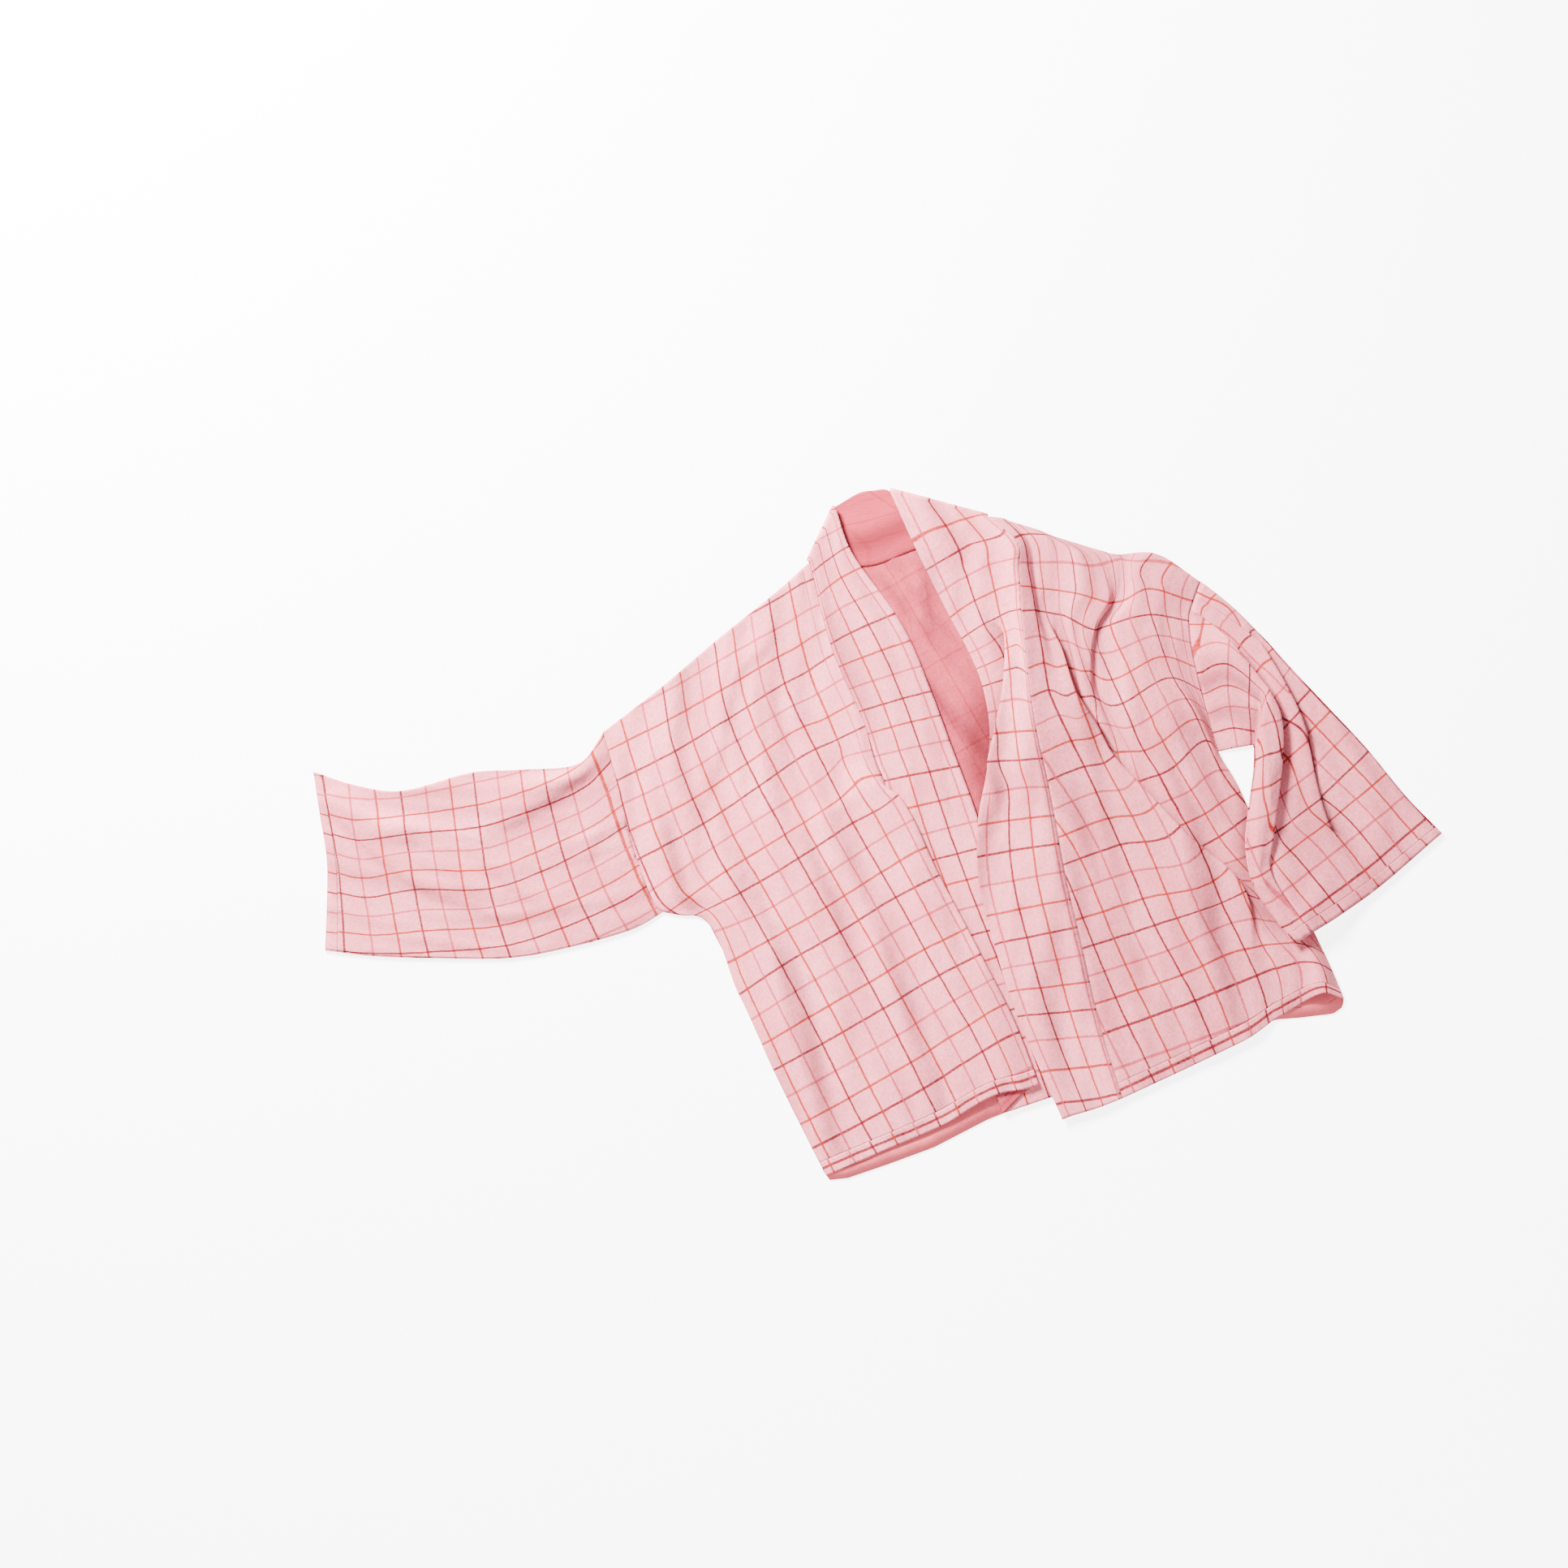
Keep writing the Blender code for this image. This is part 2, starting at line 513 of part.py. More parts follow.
def sleeve_rings(table, ridges, edge):
    """Middle surface of a flattened sleeve: rings of the upper layer and the layer under it.

    edge is the armhole that the first ring follows, from the underarm to the shoulder.
    """
    t = rows_of(SLEEVE_COLUMNS, table)
    names = ("low", "low_mid", "middle", "high_mid", "high")
    knots = np.arange(len(table))
    along = between(knots, (3,) * (len(table) - 1))
    plan = smooth(knots, np.stack([t[name] for name in names], axis=1), along)
    lifts = np.maximum(smooth(knots, t["under"], along), 0)
    edge_steps = np.append(0, np.cumsum(np.linalg.norm(np.diff(edge, axis=0), axis=1)))
    edge_share = edge_steps / edge_steps[-1]
    even_share = np.linspace(0, 1, len(edge)) ** 1.2
    lines = [edge] + [smooth(np.arange(5), row, np.linspace(0, 4, 41)) for row in plan[1:]]
    lows = np.array([line[0] for line in lines])
    highs = np.array([line[-1] for line in lines])
    from_low = inward_of(lows, plan[:, 2])
    from_high = inward_of(highs, plan[:, 2])
    rings = []
    for index, (line, lift) in enumerate(zip(lines, lifts)):
        whole = np.sum(np.linalg.norm(np.diff(line, axis=0), axis=1))
        grown = min(index / 3, 1)
        top_level = SIDE_LEVEL + (SLEEVE_TOP_LEVEL - SIDE_LEVEL) * grown
        turn = (top_level - BACK_LEVEL) / 2

        def rest(distance):
            return lift * np.clip(1.7 - 3 * distance / whole, 0, 1) ** 2

        top = whole * (edge_share + (even_share - edge_share) * grown)
        upper = at_level(along_line(line, top), 0)
        for ridge in ridges:
            upper[:, 2] = np.maximum(upper[:, 2], ridge_height(upper, ridge) * grown)
        calm = np.clip(np.minimum(top, whole - top) / 12, 0, 1)
        upper[:, 2] = top_level + rest(top) + np.maximum(upper[:, 2] - rest(top), 0) * calm
        low = whole * np.linspace(1, 0, LOWER_POINTS)
        lower = at_level(along_line(line, low), BACK_LEVEL + rest(low))
        ends = ((highs[index], from_high[index], rest(whole)), (lows[index], from_low[index], rest(0.0)))
        if index == 0:
            ends = tuple((spot, line[at] - spot, raised) for (spot, _, raised), at in zip(ends, (-2, 1)))
            ends = tuple((spot, way / np.linalg.norm(way), raised) for spot, way, raised in ends)
        far, near = [
            [at_level(spot + way * turn * (1 - math.sin(angle)),
                      BACK_LEVEL + turn * (1 + math.cos(angle)) + raised)
             for angle in np.radians((0, 60, 120, 180))]
            for spot, way, raised in ends
        ]
        upper[0], upper[-1], lower[0], lower[-1] = near[0], far[0], far[3], near[3]
        rings.append(np.concatenate([upper, far[1:3], lower, near[2:0:-1]]))
    return np.array(rings)


def add_back(neck_seam, arm_left, arm_right):
    """The back: a flat panel inside the seams."""
    right_shoulder, left_shoulder, left_side, hem, right_side = BACK_OUTLINE
    outline = []
    for stretch in (right_shoulder, neck_seam, left_shoulder, left_side, hem, right_side):
        stretch = np.array(stretch, float)
        knots = np.arange(len(stretch))
        outline.append(smooth(knots, stretch, np.linspace(0, knots[-1], 2 * knots[-1] + 1)))
    outline.insert(3, arm_left)
    outline.append(arm_right)
    outline = np.concatenate(outline)[::-1]
    count = len(outline)
    points = np.concatenate([at_level(outline, CLOTH), at_level(outline, 0)])
    faces = [tuple(range(count)), tuple(range(2 * count - 1, count - 1, -1))]
    faces += [(i, i + count, (i + 1) % count + count, (i + 1) % count) for i in range(count)]
    return add_solid("back", points, faces, "coral")


def main():
    for old in list(bpy.data.objects):
        bpy.data.objects.remove(old, do_unlink=True)

    front_right = front_right_grid()
    front_left = front_left_grid()
    right_seam = front_right[:, -1].copy()
    room = fine_rows(FRONT_RIGHT_COLUMNS, FRONT_RIGHT, DOWN_RIGHT)["room"]
    right_seam[:, 0] += np.maximum(room, 0)
    band = neckband_grid(right_seam, front_left[:, 0].copy())
    neck = rows_of(BAND_NECK_COLUMNS, BAND_NECK)
    arm_right = armhole_edge(front_right[:, ::-1], DOWN_RIGHT, ARMHOLE_RIGHT, -1)
    arm_left = armhole_edge(front_left, DOWN_LEFT, ARMHOLE_LEFT, 1)

    pull_back(front_right, -1, -2, SEAM_GAP)
    pull_back(front_left, 0, 1, SEAM_GAP)
    pull_back(band, 0, 1, SEAM_GAP)

    facing_right = normals_of(front_right)
    facing_right[:, 0] = (0, 0, np.sign(facing_right[0, 0, 2]))
    facing_left = normals_of(front_left, level_side=True)
    facing_band = normals_of(band)
    count = len(front_left)
    shared = facing_left[:, 0] - facing_band[-count:, 0]
    shared /= np.linalg.norm(shared, axis=1, keepdims=True)
    facing_left[:, 0] = shared
    facing_band[-count:, 0] = -shared

    inset = np.array([2 * SEAM_GAP, 0])
    arm_backs = []
    for edge, way in ((arm_left, -1), (arm_right, 1)):
        whole = np.sum(np.linalg.norm(np.diff(edge, axis=0), axis=1))
        line = along_line(edge, whole * np.linspace(1, 0, LOWER_POINTS)) + inset * way
        line[0] += (line[1] - line[0]) * 0.12
        line[-1] += (line[-2] - line[-1]) * 0.12
        arm_backs.append(line)
    neck_edge = neck["seam"] + np.array([0.5, -1.8])
    add_back(neck_edge, arm_backs[0], arm_backs[1][::-1])
    add_wall("front_right", front_right, facing_right, CLOTH, "pink_check")
    add_wall("front_left", front_left, facing_left, CLOTH, "pink_check")
    add_wall("neckband", band, facing_band, BAND_CLOTH, "pink_check")
    right = sleeve_rings(SLEEVE_RIGHT, (SHOULDER_RIDGE, CUFF_WAVE), arm_right)
    left = sleeve_rings(SLEEVE_LEFT, (SLEEVE_ROLL,), arm_left)
    add_wall("sleeve_right", right, normals_of(right, True), CLOTH, "pink_check", True, True)
    add_wall("sleeve_left", left, normals_of(left, True), CLOTH, "pink_check", True)


main()
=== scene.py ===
"""The finished look of a checked double-cloth kimono jacket that lies flat on its back.

The tables hold places on the laid jacket in millimetres: x to its left sleeve, y to its neck, z up.
Each row is one section across a cut piece, and smooth curves through the rows make the cloth.
"""

import math

import bpy
import numpy as np
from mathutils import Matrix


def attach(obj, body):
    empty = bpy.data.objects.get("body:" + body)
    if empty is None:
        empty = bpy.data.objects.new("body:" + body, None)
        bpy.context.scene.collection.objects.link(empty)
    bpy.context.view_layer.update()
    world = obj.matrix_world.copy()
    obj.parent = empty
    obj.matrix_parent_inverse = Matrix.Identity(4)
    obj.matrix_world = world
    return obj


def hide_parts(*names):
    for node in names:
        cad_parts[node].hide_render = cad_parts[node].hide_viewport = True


bl_info = {
    "name": "Laid kimono jacket",
    "version": (1, 0, 0),
    "blender": (4, 5, 0),
    "location": "View3D > Sidebar > Jacket",
    "description": "Dresses the flat kimono jacket in its checked double cloth, seams and stitches",
    "category": "Object",
}

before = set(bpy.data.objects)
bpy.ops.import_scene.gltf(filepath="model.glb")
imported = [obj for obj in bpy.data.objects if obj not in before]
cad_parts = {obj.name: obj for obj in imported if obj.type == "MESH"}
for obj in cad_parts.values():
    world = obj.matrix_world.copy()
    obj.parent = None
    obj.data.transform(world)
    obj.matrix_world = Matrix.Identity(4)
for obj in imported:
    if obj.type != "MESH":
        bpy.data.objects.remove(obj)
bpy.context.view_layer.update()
MM = 0.001

# Layers in millimetres: the cloth and the gaps that set their levels, how far turned edges stand up and
# out, which way the neckband bulges at the neck, and how far the back runs on under it
PLAIN_CLOTH = 1.6
BAND_CLOTH = 2.4
SEAM_GAP = 0.05
LAYER_GAP = 0.5
OVER_BAND_GAP = 0.6
BACK_LEVEL = PLAIN_CLOTH / 2
FRONT_LEVEL = PLAIN_CLOTH + LAYER_GAP + PLAIN_CLOTH / 2
BAND_LEVEL = PLAIN_CLOTH + LAYER_GAP + BAND_CLOTH / 2
OVER_BAND = PLAIN_CLOTH + BAND_CLOTH + OVER_BAND_GAP + PLAIN_CLOTH / 2
SIDE_LEVEL = PLAIN_CLOTH + SEAM_GAP + PLAIN_CLOTH / 2
SLEEVE_TOP_LEVEL = 3.6
TURN_HEIGHT = 3.2
OVERHANG = 2.5
NECK_TURN = 3.2
AWAY_AT_RIGHT = (-0.91, 0.42, 0)
AWAY_AT_LEFT = (0.27, 0.96, 0)
UNDER_BAND = 1.5

# Folds: how far before its edge one starts, the lift in cloth thicknesses from which it turns under,
# how fast a soft ridge falls off, where a sleeve's lift from below starts and ends in shares of its
# width, how far from a sleeve's edges its creases reach full height, how much of the ridge's lift each
# warp of the right front has, and the lift in millimetres that a flat fold keeps
RUN_UP = 8.0
RUN_UP_SHARE = 0.6
TURN_FROM = 2.6
TURN_OVER = 2.0
RIDGE_FALL = 1.6
REST_FROM = 1.7
REST_FALL = 3.0
CALM_REACH = 12.0
WARP_LIFT = ((1, 0), (2, 0.2), (3, 0.95))
LEAST_LIFT = 0.01

# Fineness of the meshes: millimetres, degrees, counts of columns between the named places, and the
# columns over which creases start beside an edge or a turn
STEP = 4.5
TURN_STEPS = 12
FRONT_TURN = tuple(range(0, 181, 20))
BAND_TURN = tuple(range(0, 181, 30))
SLEEVE_TURN = tuple(range(0, 181, 20))
RIDGE_STEPS = 12
RIGHT_STEPS = (16, 16, 16, 8)
RIGHT_LAST_STEPS = 9
LEFT_STEPS = (14, 6)
FLAP_STEPS = 6
CREST_STEPS = (10, 14)
BAND_STEPS = 6
CALM_AT_TURN = 4
CALM_BEFORE_TURN = 8
CALM_AT_RIGHT_SIDE = 3
CALM_AT_LEFT = 4
NECK_POINTS = 49
UPPER_POINTS = 90
LOWER_POINTS = 40
SECTION_POINTS = 81
SLEEVE_CROWDING = 1.2
BACK_ACROSS = 121
BACK_DOWN = 131

# The cut cloth of a front, in millimetres: width, shoulder and hem, the rows between which its cloth lies
# neither stretched nor gathered along the warp, and the rows where the armholes end
FRONT_WIDTH = 278.0
SHOULDER_DROP = 60.0
HEM_DOWN = 600.0
HEM_SLANT = 0.08
STRAIGHT_FROM = 113.0
STRAIGHT_TO = 575.0
ARMHOLE_RIGHT = 262
ARMHOLE_LEFT = 298

# The check, in millimetres: spacing and width of the lines, how much they wander and blur, and where
# they lie on the neckband and the back
WARP_PITCH = 23.2
WEFT_PITCH = 30.8
WARP_LINE = 2.0
WEFT_LINE = 2.5
WEFT_STRENGTH = 0.96
LINE_WANDER = 1.6
LINE_EDGE = 0.8
LINE_STRENGTH = {"dark": 1.0, "orange": 1.0, "rose": 0.85}
THROUGH_STRENGTH = {"dark": 0.42, "orange": 0.25, "rose": 0.15}
NECK_WEFTS = 2
BAND_WIDTH = 84.0
BAND_FROM_DARK = 36.6
BACK_WARP = (0.86, 0.5)
BACK_START = (150, 330)

# Hems and seams, in millimetres: the turned strip and how its check is shifted, the rows of stitches and
# their unevenness, the puckers and their noise, a hem's step and groove, and the distance that stands
# for no edge
HEM_STRIP = 14.0
HEM_ROWS = 7
HEM_LINE = 7.0
HEM_JOG = 2.2
STITCH_AT_HEM = 12.5
STITCH_AT_SEAM = 2.6
STITCH_AT_NECK = 1.2
THREAD_RISE = 0.08
THREAD_ROUGH = 0.7
UNEVEN_STITCH = (0.12, 0.12, 0.05)
PUCKER = 1.1
PUCKER_REACH = 9.0
PUCKER_STRETCH = 0.25
SEAM_PUCKER_NOISE = 0.11
HEM_PUCKER_NOISE = 0.13
HEM_STEP = 1.2
HEM_RISE = 0.45
GROOVE = 0.5
GROOVE_REACH = 1.1
FAR = 1000.0

# The cloth's face: waves and noise per millimetre of cloth, heights in millimetres, the slant and shade
# of soft folds, and how dull the cloth is
WEAVE = 3.6
WANDER_NOISE = 0.045
SLUB_NOISE = 0.9
SLUB_STRETCH = (0.3, 1.1)
SLUB_CONTRAST = 3.2
BROAD_NOISE = 0.018
CRUMPLE = 1.8
CRUMPLE_NOISE = 0.03
FINE_NOISE = 0.11
FINE_RISE = 0.3
WEAVE_RISE = 0.07
GRAIN_RISE = 0.06
SOFT_FOLDS = 9.0
SOFT_NOISE = 0.017
SOFT_LEAN = 12.0
SOFT_SLANT = 0.18
SOFT_STRETCH = 0.2
SOFT_CONTRAST = 3.6
SOFT_SHADE = 0.16
CLOTH_SHINE = 0.06
CLOTH_ROUGH = 0.9

# Shade in the hollows: the plan's cells, the reach that counts as round about, the full depth, the way in
# from a hem, the tint, the depth that coral leaves unshaded, and the lit strip along the coral hem
MAP_CELL = 4.0
MAP_FROM = (-640.0, -400.0)
MAP_SIZE = (320, 200)
HOLLOW_REACH = 16.0
HOLLOW_DEPTH = 7.0
HOLLOW_FROM_HEM = 90.0
SHADOW = (0.46, 0.41, 0.41)
CORAL_SHALLOW = 0.3
LIT_HEM = 45.0
LIT_SHARE = 0.9

# The room, in metres: half the surface, the light all round, and each lamp's name, place, size and
# power in watts; the camera's sensor in millimetres and where it hangs
SURFACE_HALF = 4
SURFACE_ROUGH = 0.9
ROOM_LIGHT = 0.31
LAMPS = (
    ("key", (-1.4, 1.8, 1.45), 0.8, 620),
    ("fill", (0.6, -1.9, 1.7), 1.6, 70),
)
SENSOR = 36.0
CAMERA_OVER = (-0.0969, 0.0536)

# Each piece's cloth: whether a hem or cuff is turned and whether a dark weft lies in its strip, the way
# that its seams run, where its first dark weft lies, and how far it lies in the shade
CLOTH_FACES = {
    "back": ("plain", "along", 21.0, 0.0),
    "front_right": ("line", "along", 21.0, 0.0),
    "front_left": ("line", "along", 21.0, 0.3),
    "neckband": ("", "along", 0.0, 0.0),
    "sleeve_right": ("plain", "across", 21.0, 0.2),
    "sleeve_left": ("plain", "across", 21.0, 0.35),
}

# Wearer's right front. down: distance below the neck point along the warp. Pairs are x, y of the side
# edge, three warps 70 apart, the rolled ridge and the neckband seam. folded: 0 where the front is flat,
# 1 where it turns under at the ridge and lies on the neckband. room: how far the neckband keeps clear.
FRONT_RIGHT_COLUMNS = "down side warp_1 warp_2 warp_3 ridge seam folded room"
FRONT_RIGHT = (
    (0, (-286, 108), (-224, 156), (-170, 202), (-113, 248), (-89, 268), (-70, 286), 0, 0),
    (113, (-272, 57), (-211, 88), (-155, 122), (-96, 159), (-68, 174), (-45, 190), 0, 0),
    (206, (-250, -26), (-181, 12), (-123, 51), (-64, 90), (-34, 103), (-12, 114), 0, 0),
    (262, (-224, -80), (-160, -33), (-98, 5), (-40, 43), (-7, 73), (3, 68), 0.2, 0.5),
    (272, (-215, -82), (-155, -41), (-94, -3), (-36, 35), (5, 63), (7, 59), 0.45, 0.5),
    (285, (-203, -84), (-149, -50), (-88, -13), (-31, 24), (14, 51), (10, 45), 0.8, 1),
    (298, (-191, -84), (-143, -60), (-82, -24), (-25, 13), (22, 42), (14, 30), 1, 1),
    (391, (-144, -167), (-99, -137), (-38, -101), (20, -65), (65, -42), (46, -60), 1, 0),
    (483, (-108, -246), (-57, -218), (7, -181), (65, -146), (108, -124), (80, -146), 1, 0),
    (575, (-68, -327), (-16, -300), (49, -264), (110, -225), (148, -205), (112, -236), 1, 0),
    (622, (-53, -356), (2, -332), (69, -303), (130, -269), (169, -260), (132, -291), 1, 0),
)

# Wearer's left front. Two folds lean over the cloth beside them: each has its edge, the place where the
# cloth shows again, and its lift. crest is the high line before the armhole and the side.
FRONT_LEFT_COLUMNS = (
    "down seam warp fold fold_end lift flap flap_end flap_lift crest crest_lift side seam_lift"
)
FRONT_LEFT = (
    (0, (116, 333), (132, 331), (150, 325), (165, 321), 0,
     (224, 297), (243, 295), 0, (288, 295), 4, (339, 265), 4),
    (21, (143, 310), (150, 313), (166, 312), (180, 310), 1,
     (234, 291), (250, 292), 2, (276, 280), 6, (337, 260), 9),
    (60, (148, 278), (158, 277), (174, 274), (188, 272), 2,
     (248, 253), (254, 252), 5, (280, 258), 6, (330, 240), 12),
    (113, (150, 234), (165, 235), (180, 233), (192, 231), 4,
     (230, 213), (235, 217), 6, (286, 230), 8, (327, 224), 15),
    (160, (155, 189), (172, 193), (194, 192), (204, 188), 8,
     (226, 182), (234, 177), 6, (297, 197), 9, (331, 188), 15),
    (206, (160, 144), (179, 151), (208, 150), (213, 145), 11,
     (231, 146), (238, 138), 5, (309, 164), 10, (340, 151), 15),
    (252, (168, 100), (196, 112), (228, 118), (240, 102), 11,
     (250, 104), (264, 100), 3, (331, 131), 11, (348, 120), 13),
    (298, (178, 57), (216, 72), (247, 83), (270, 57), 10,
     (283, 57), (297, 64), 0, (347, 98), 8, (357, 88), 10),
    (345, (187, 12), (235, 31), (282, 46), (305, 22), 10,
     (316, 22), (328, 30), 0, (362, 52), 5, (376, 56), 7),
    (391, (195, -31), (254, -10), (316, 9), (339, -13), 9,
     (346, -8), (356, -3), 0, (378, 12), 2, (392, 22), 4),
    (483, (215, -118), (290, -94), (385, -58), (398, -66), 7,
     (406, -68), (416, -71), 0, (434, -75), 0, (446, -78), 3),
    (575, (236, -207), (332, -172), (398, -145), (412, -140), 4,
     (428, -136), (438, -133), 0, (456, -132), 7, (477, -142), 2),
    (636, (257, -275), (356, -228), (404, -203), (417, -192), 4,
     (432, -184), (444, -176), 0, (466, -164), 10, (489, -171), 2),
)

# Neckband beside each front: its free edge, and how far its edges stand over the flat band. On the
# left, hump is the edge of a fold that leans over the band, foot the place where it comes down, and
# lift its height; free_lift carries the band over the other one.
BAND_RIGHT_COLUMNS = "down free free_lift seam_lift"
BAND_RIGHT = (
    (0, (-43, 342), 5, 3),
    (50, (-27, 297), 4, 1),
    (113, (21, 229), 2, 0),
    (206, (59, 145), 0, 0),
    (262, (79, 91), 0, 0),
    (298, (93, 54), 0, 0),
    (391, (124, -35), 0, 0),
    (483, (156, -118), 0, 0),
    (575, (190, -203), 0, 0),
    (622, (212, -264), 0, 0),
)
BAND_LEFT_COLUMNS = "down free free_lift hump foot lift"
BAND_LEFT = (
    (0, (14, 358), 5, (58, 347), (40, 352), 1),
    (21, (37, 307), 5, (82, 314), (66, 312), 1),
    (60, (55, 270), 3, (104, 280), (84, 276), 2),
    (113, (76, 229), 1, (124, 240), (106, 236), 5),
    (160, (94, 196), 0, (133, 204), (122, 200), 10),
    (206, (110, 158), 0, (132, 158), (126, 158), 11),
    (252, (118, 112), 0, (123, 110), (121, 111), 11),
    (298, (115, 68), 2, (114, 66), (118, 67), 10),
    (345, (106, 18), 3, (118, 18), (112, 18), 2),
    (391, (105, -31), 3.2, (122, -31), (112, -31), 0),
    (483, (125, -122), 3.2, (146, -121), (134, -121), 0),
    (575, (155, -209), 3.2, (180, -208), (166, -208), 0),
    (636, (194, -297), 3.2, (216, -290), (204, -293), 0),
)

# Neckband across the back of the neck, inside up: free edge and neck seam.
BAND_NECK_COLUMNS = "free seam"
BAND_NECK = (
    ((-43, 344), (-70, 286)),
    ((-19, 358), (-10, 281)),
    ((-2, 361), (36, 297)),
    ((8, 362), (76, 312)),
    ((14, 360), (110, 333)),
)

# Right sleeve: sections from armhole to cuff, five places from the lower edge to the upper edge, and how
# far the lower layer is lifted at the lower edge.
SLEEVE_RIGHT = (
    ((-225, -81), (-243, -35), (-258, 14), (-270, 61), (-286, 106), 0),
    ((-258, -99), (-279, -57), (-293, -14), (-304, 31), (-313, 74), 0),
    ((-322, -117), (-340, -73), (-355, -28), (-366, 20), (-374, 68), 0),
    ((-385, -128), (-400, -84), (-411, -37), (-418, 13), (-425, 65), 0),
    ((-468, -128), (-477, -86), (-484, -43), (-490, 1), (-496, 46), 0),
    ((-526, -126), (-530, -86), (-536, -43), (-541, 3), (-546, 52), 0),
    ((-577, -120), (-575, -73), (-575, -26), (-582, 20), (-589, 66), 0),
)

# Soft ridges: a line of x, y with the height there and the reach of the slope on each side of it,
# left and right as one looks from its first row to its last.
RIDGE_COLUMNS = "x y height left right"
SHOULDER_RIDGE = (
    (-288, 104, 4, 14, 40),
    (-309, 74, 8, 14, 40),
    (-345, 44, 8, 16, 45),
    (-396, 14, 5, 18, 40),
    (-430, 0, 0, 20, 30),
)
CUFF_WAVE = (
    (-560, 40, 3, 14, 20),
    (-520, 10, 6, 14, 20),
    (-470, 2, 6, 16, 20),
    (-440, -40, 3, 16, 20),
    (-410, -80, 0, 16, 20),
)

# Back: places round its outline, in stretches that meet at corners.
BACK_OUTLINE = (
    ((-281, 104), (-221, 150), (-167, 195), (-110, 241), (-74, 276)),
    ((116, 329), (150, 309), (187, 303), (236, 282), (298, 282), (333, 258)),
    ((384, 18), (432, -62), (462, -130), (482, -158)),
    ((489, -172), (488, -180), (478, -187), (445, -191), (419, -193), (340, -222), (255, -249),
     (187, -269), (116, -298), (60, -327), (11, -345), (-30, -359), (-49, -361)),
    ((-55, -355), (-64, -326), (-102, -242), (-137, -167), (-179, -86), (-190, -76)),
)

# The same rows' places across the cut cloth, in millimetres from the first dark warp: what the check
# follows where the cloth folds.
CLOTH_RIGHT_COLUMNS = "down side ridge seam"
CLOTH_RIGHT = (
    (0, 4, 244, 278),
    (113, 0, 244, 278),
    (206, -3, 248, 278),
    (262, -6, 258, 282),
    (298, 6, 264, 286),
    (391, 12, 264, 302),
    (483, 12, 264, 328),
    (575, 12, 264, 350),
    (622, 12, 262, 372),
)
CLOTH_LEFT_COLUMNS = "down seam fold fold_end flap flap_end crest side"
CLOTH_LEFT = (
    (0, -8, 23, 42, 116, 150, 209, 270),
    (21, -6, 23, 42, 116, 150, 209, 270),
    (60, -10, 23, 44, 118, 152, 209, 270),
    (113, -15, 23, 46, 118, 152, 209, 268),
    (160, -15, 24, 46, 92, 132, 209, 269),
    (206, -15, 25, 46, 70, 116, 209, 270),
    (252, -20, 32, 76, 96, 130, 211, 250),
    (298, -30, 40, 110, 126, 141, 212, 226),
    (345, -48, 51, 126, 138, 150, 203, 216),
    (391, -66, 62, 139, 148, 160, 192, 206),
    (483, -82, 97, 135, 144, 156, 176, 188),
    (575, -96, 69, 86, 103, 115, 130, 160),
    (636, -109, 57, 75, 98, 114, 134, 160),
)

# Where the dark wefts cross the neckband's edges and middle: dark wefts passed, distances down the band.
BAND_WEFT_COLUMNS = "weft right_free right_mid right_seam left_free left_mid left_seam"
BAND_WEFTS = (
    (-1 / 3, 23, 3, -16, 21, 12, -2),
    (0, 45, 29, 13, 50, 30, 12),
    (1, 110, 105, 101, 147, 130, 112),
    (2, 200, 193, 187, 208, 195, 181),
    (3, 280, 277, 274, 292, 282, 273),
    (4, 366, 363, 361, 383, 375, 367),
    (5, 454, 451, 449, 475, 467, 460),
    (6, 542, 540, 537, 558, 554, 550),
    (7, 630, 628, 625, 625, 628, 631),
)

# The right sleeve's distances from the cuff at its lower and upper edge, and five places round it.
CLOTH_SLEEVE_RIGHT = (
    (365, 373, -30, 17, 71, 122, 165),
    (331, 342, -30, 17, 65, 120, 165),
    (266.5, 265.6, -22, 28, 82, 135, 188),
    (203.5, 202, -14, 36, 92, 144, 196),
    (113.4, 115.6, -6, 38, 85, 139, 193),
    (52, 59, -3, 45, 95, 148, 200),
    (0, 11, 0, 52, 104.5, 157, 209),
)

# Softer creases that only the finished cloth shows, in the same columns as the soft ridges.
RIGHT_CREASES = (
    (
        (-68, 59, 0, 8, 36),
        (-42, -14, 3.5, 8, 36),
        (-2, -103, 4.5, 8, 36),
        (20, -171, 4.5, 8, 32),
        (60, -260, 2, 8, 25),
        (72, -286, 0, 8, 20),
    ),
    (
        (-109, 258, 0, 8, 20),
        (-113, 207, 3, 8, 22),
        (-151, 162, 3.5, 8, 26),
        (-168, 80, 3.5, 8, 26),
        (-187, 20, 1, 8, 24),
        (-196, -9, 0, 8, 20),
    ),
    (
        (-143, 25, 0, 7, 18),
        (-146, -43, 2.2, 7, 18),
        (-141, -111, 0, 7, 18),
    ),
    (
        (85, -162, 0, 7, 14),
        (89, -205, 2.5, 7, 14),
        (102, -247, 1.5, 7, 14),
    ),
    (
        (113, -179, 0, 6, 10),
        (123, -230, 2.2, 6, 10),
        (129, -252, 1, 6, 10),
    ),
    (
        (-60, 195, 0, 7, 18),
        (-34, 148, 2.2, 7, 18),
        (0, 84, 1.5, 7, 14),
        (17, 46, 0, 7, 12),
    ),
    (
        (-216, -18, 0, 8, 8),
        (-211, -52, 3.5, 8, 9),
        (-199, -64, 3.5, 9, 10),
        (-177, -67, 0, 9, 10),
    ),
    (
        (-51, -188, 0, 10, 22),
        (-30, -256, 2, 10, 22),
        (-17, -311, 1, 10, 20),
    ),
)
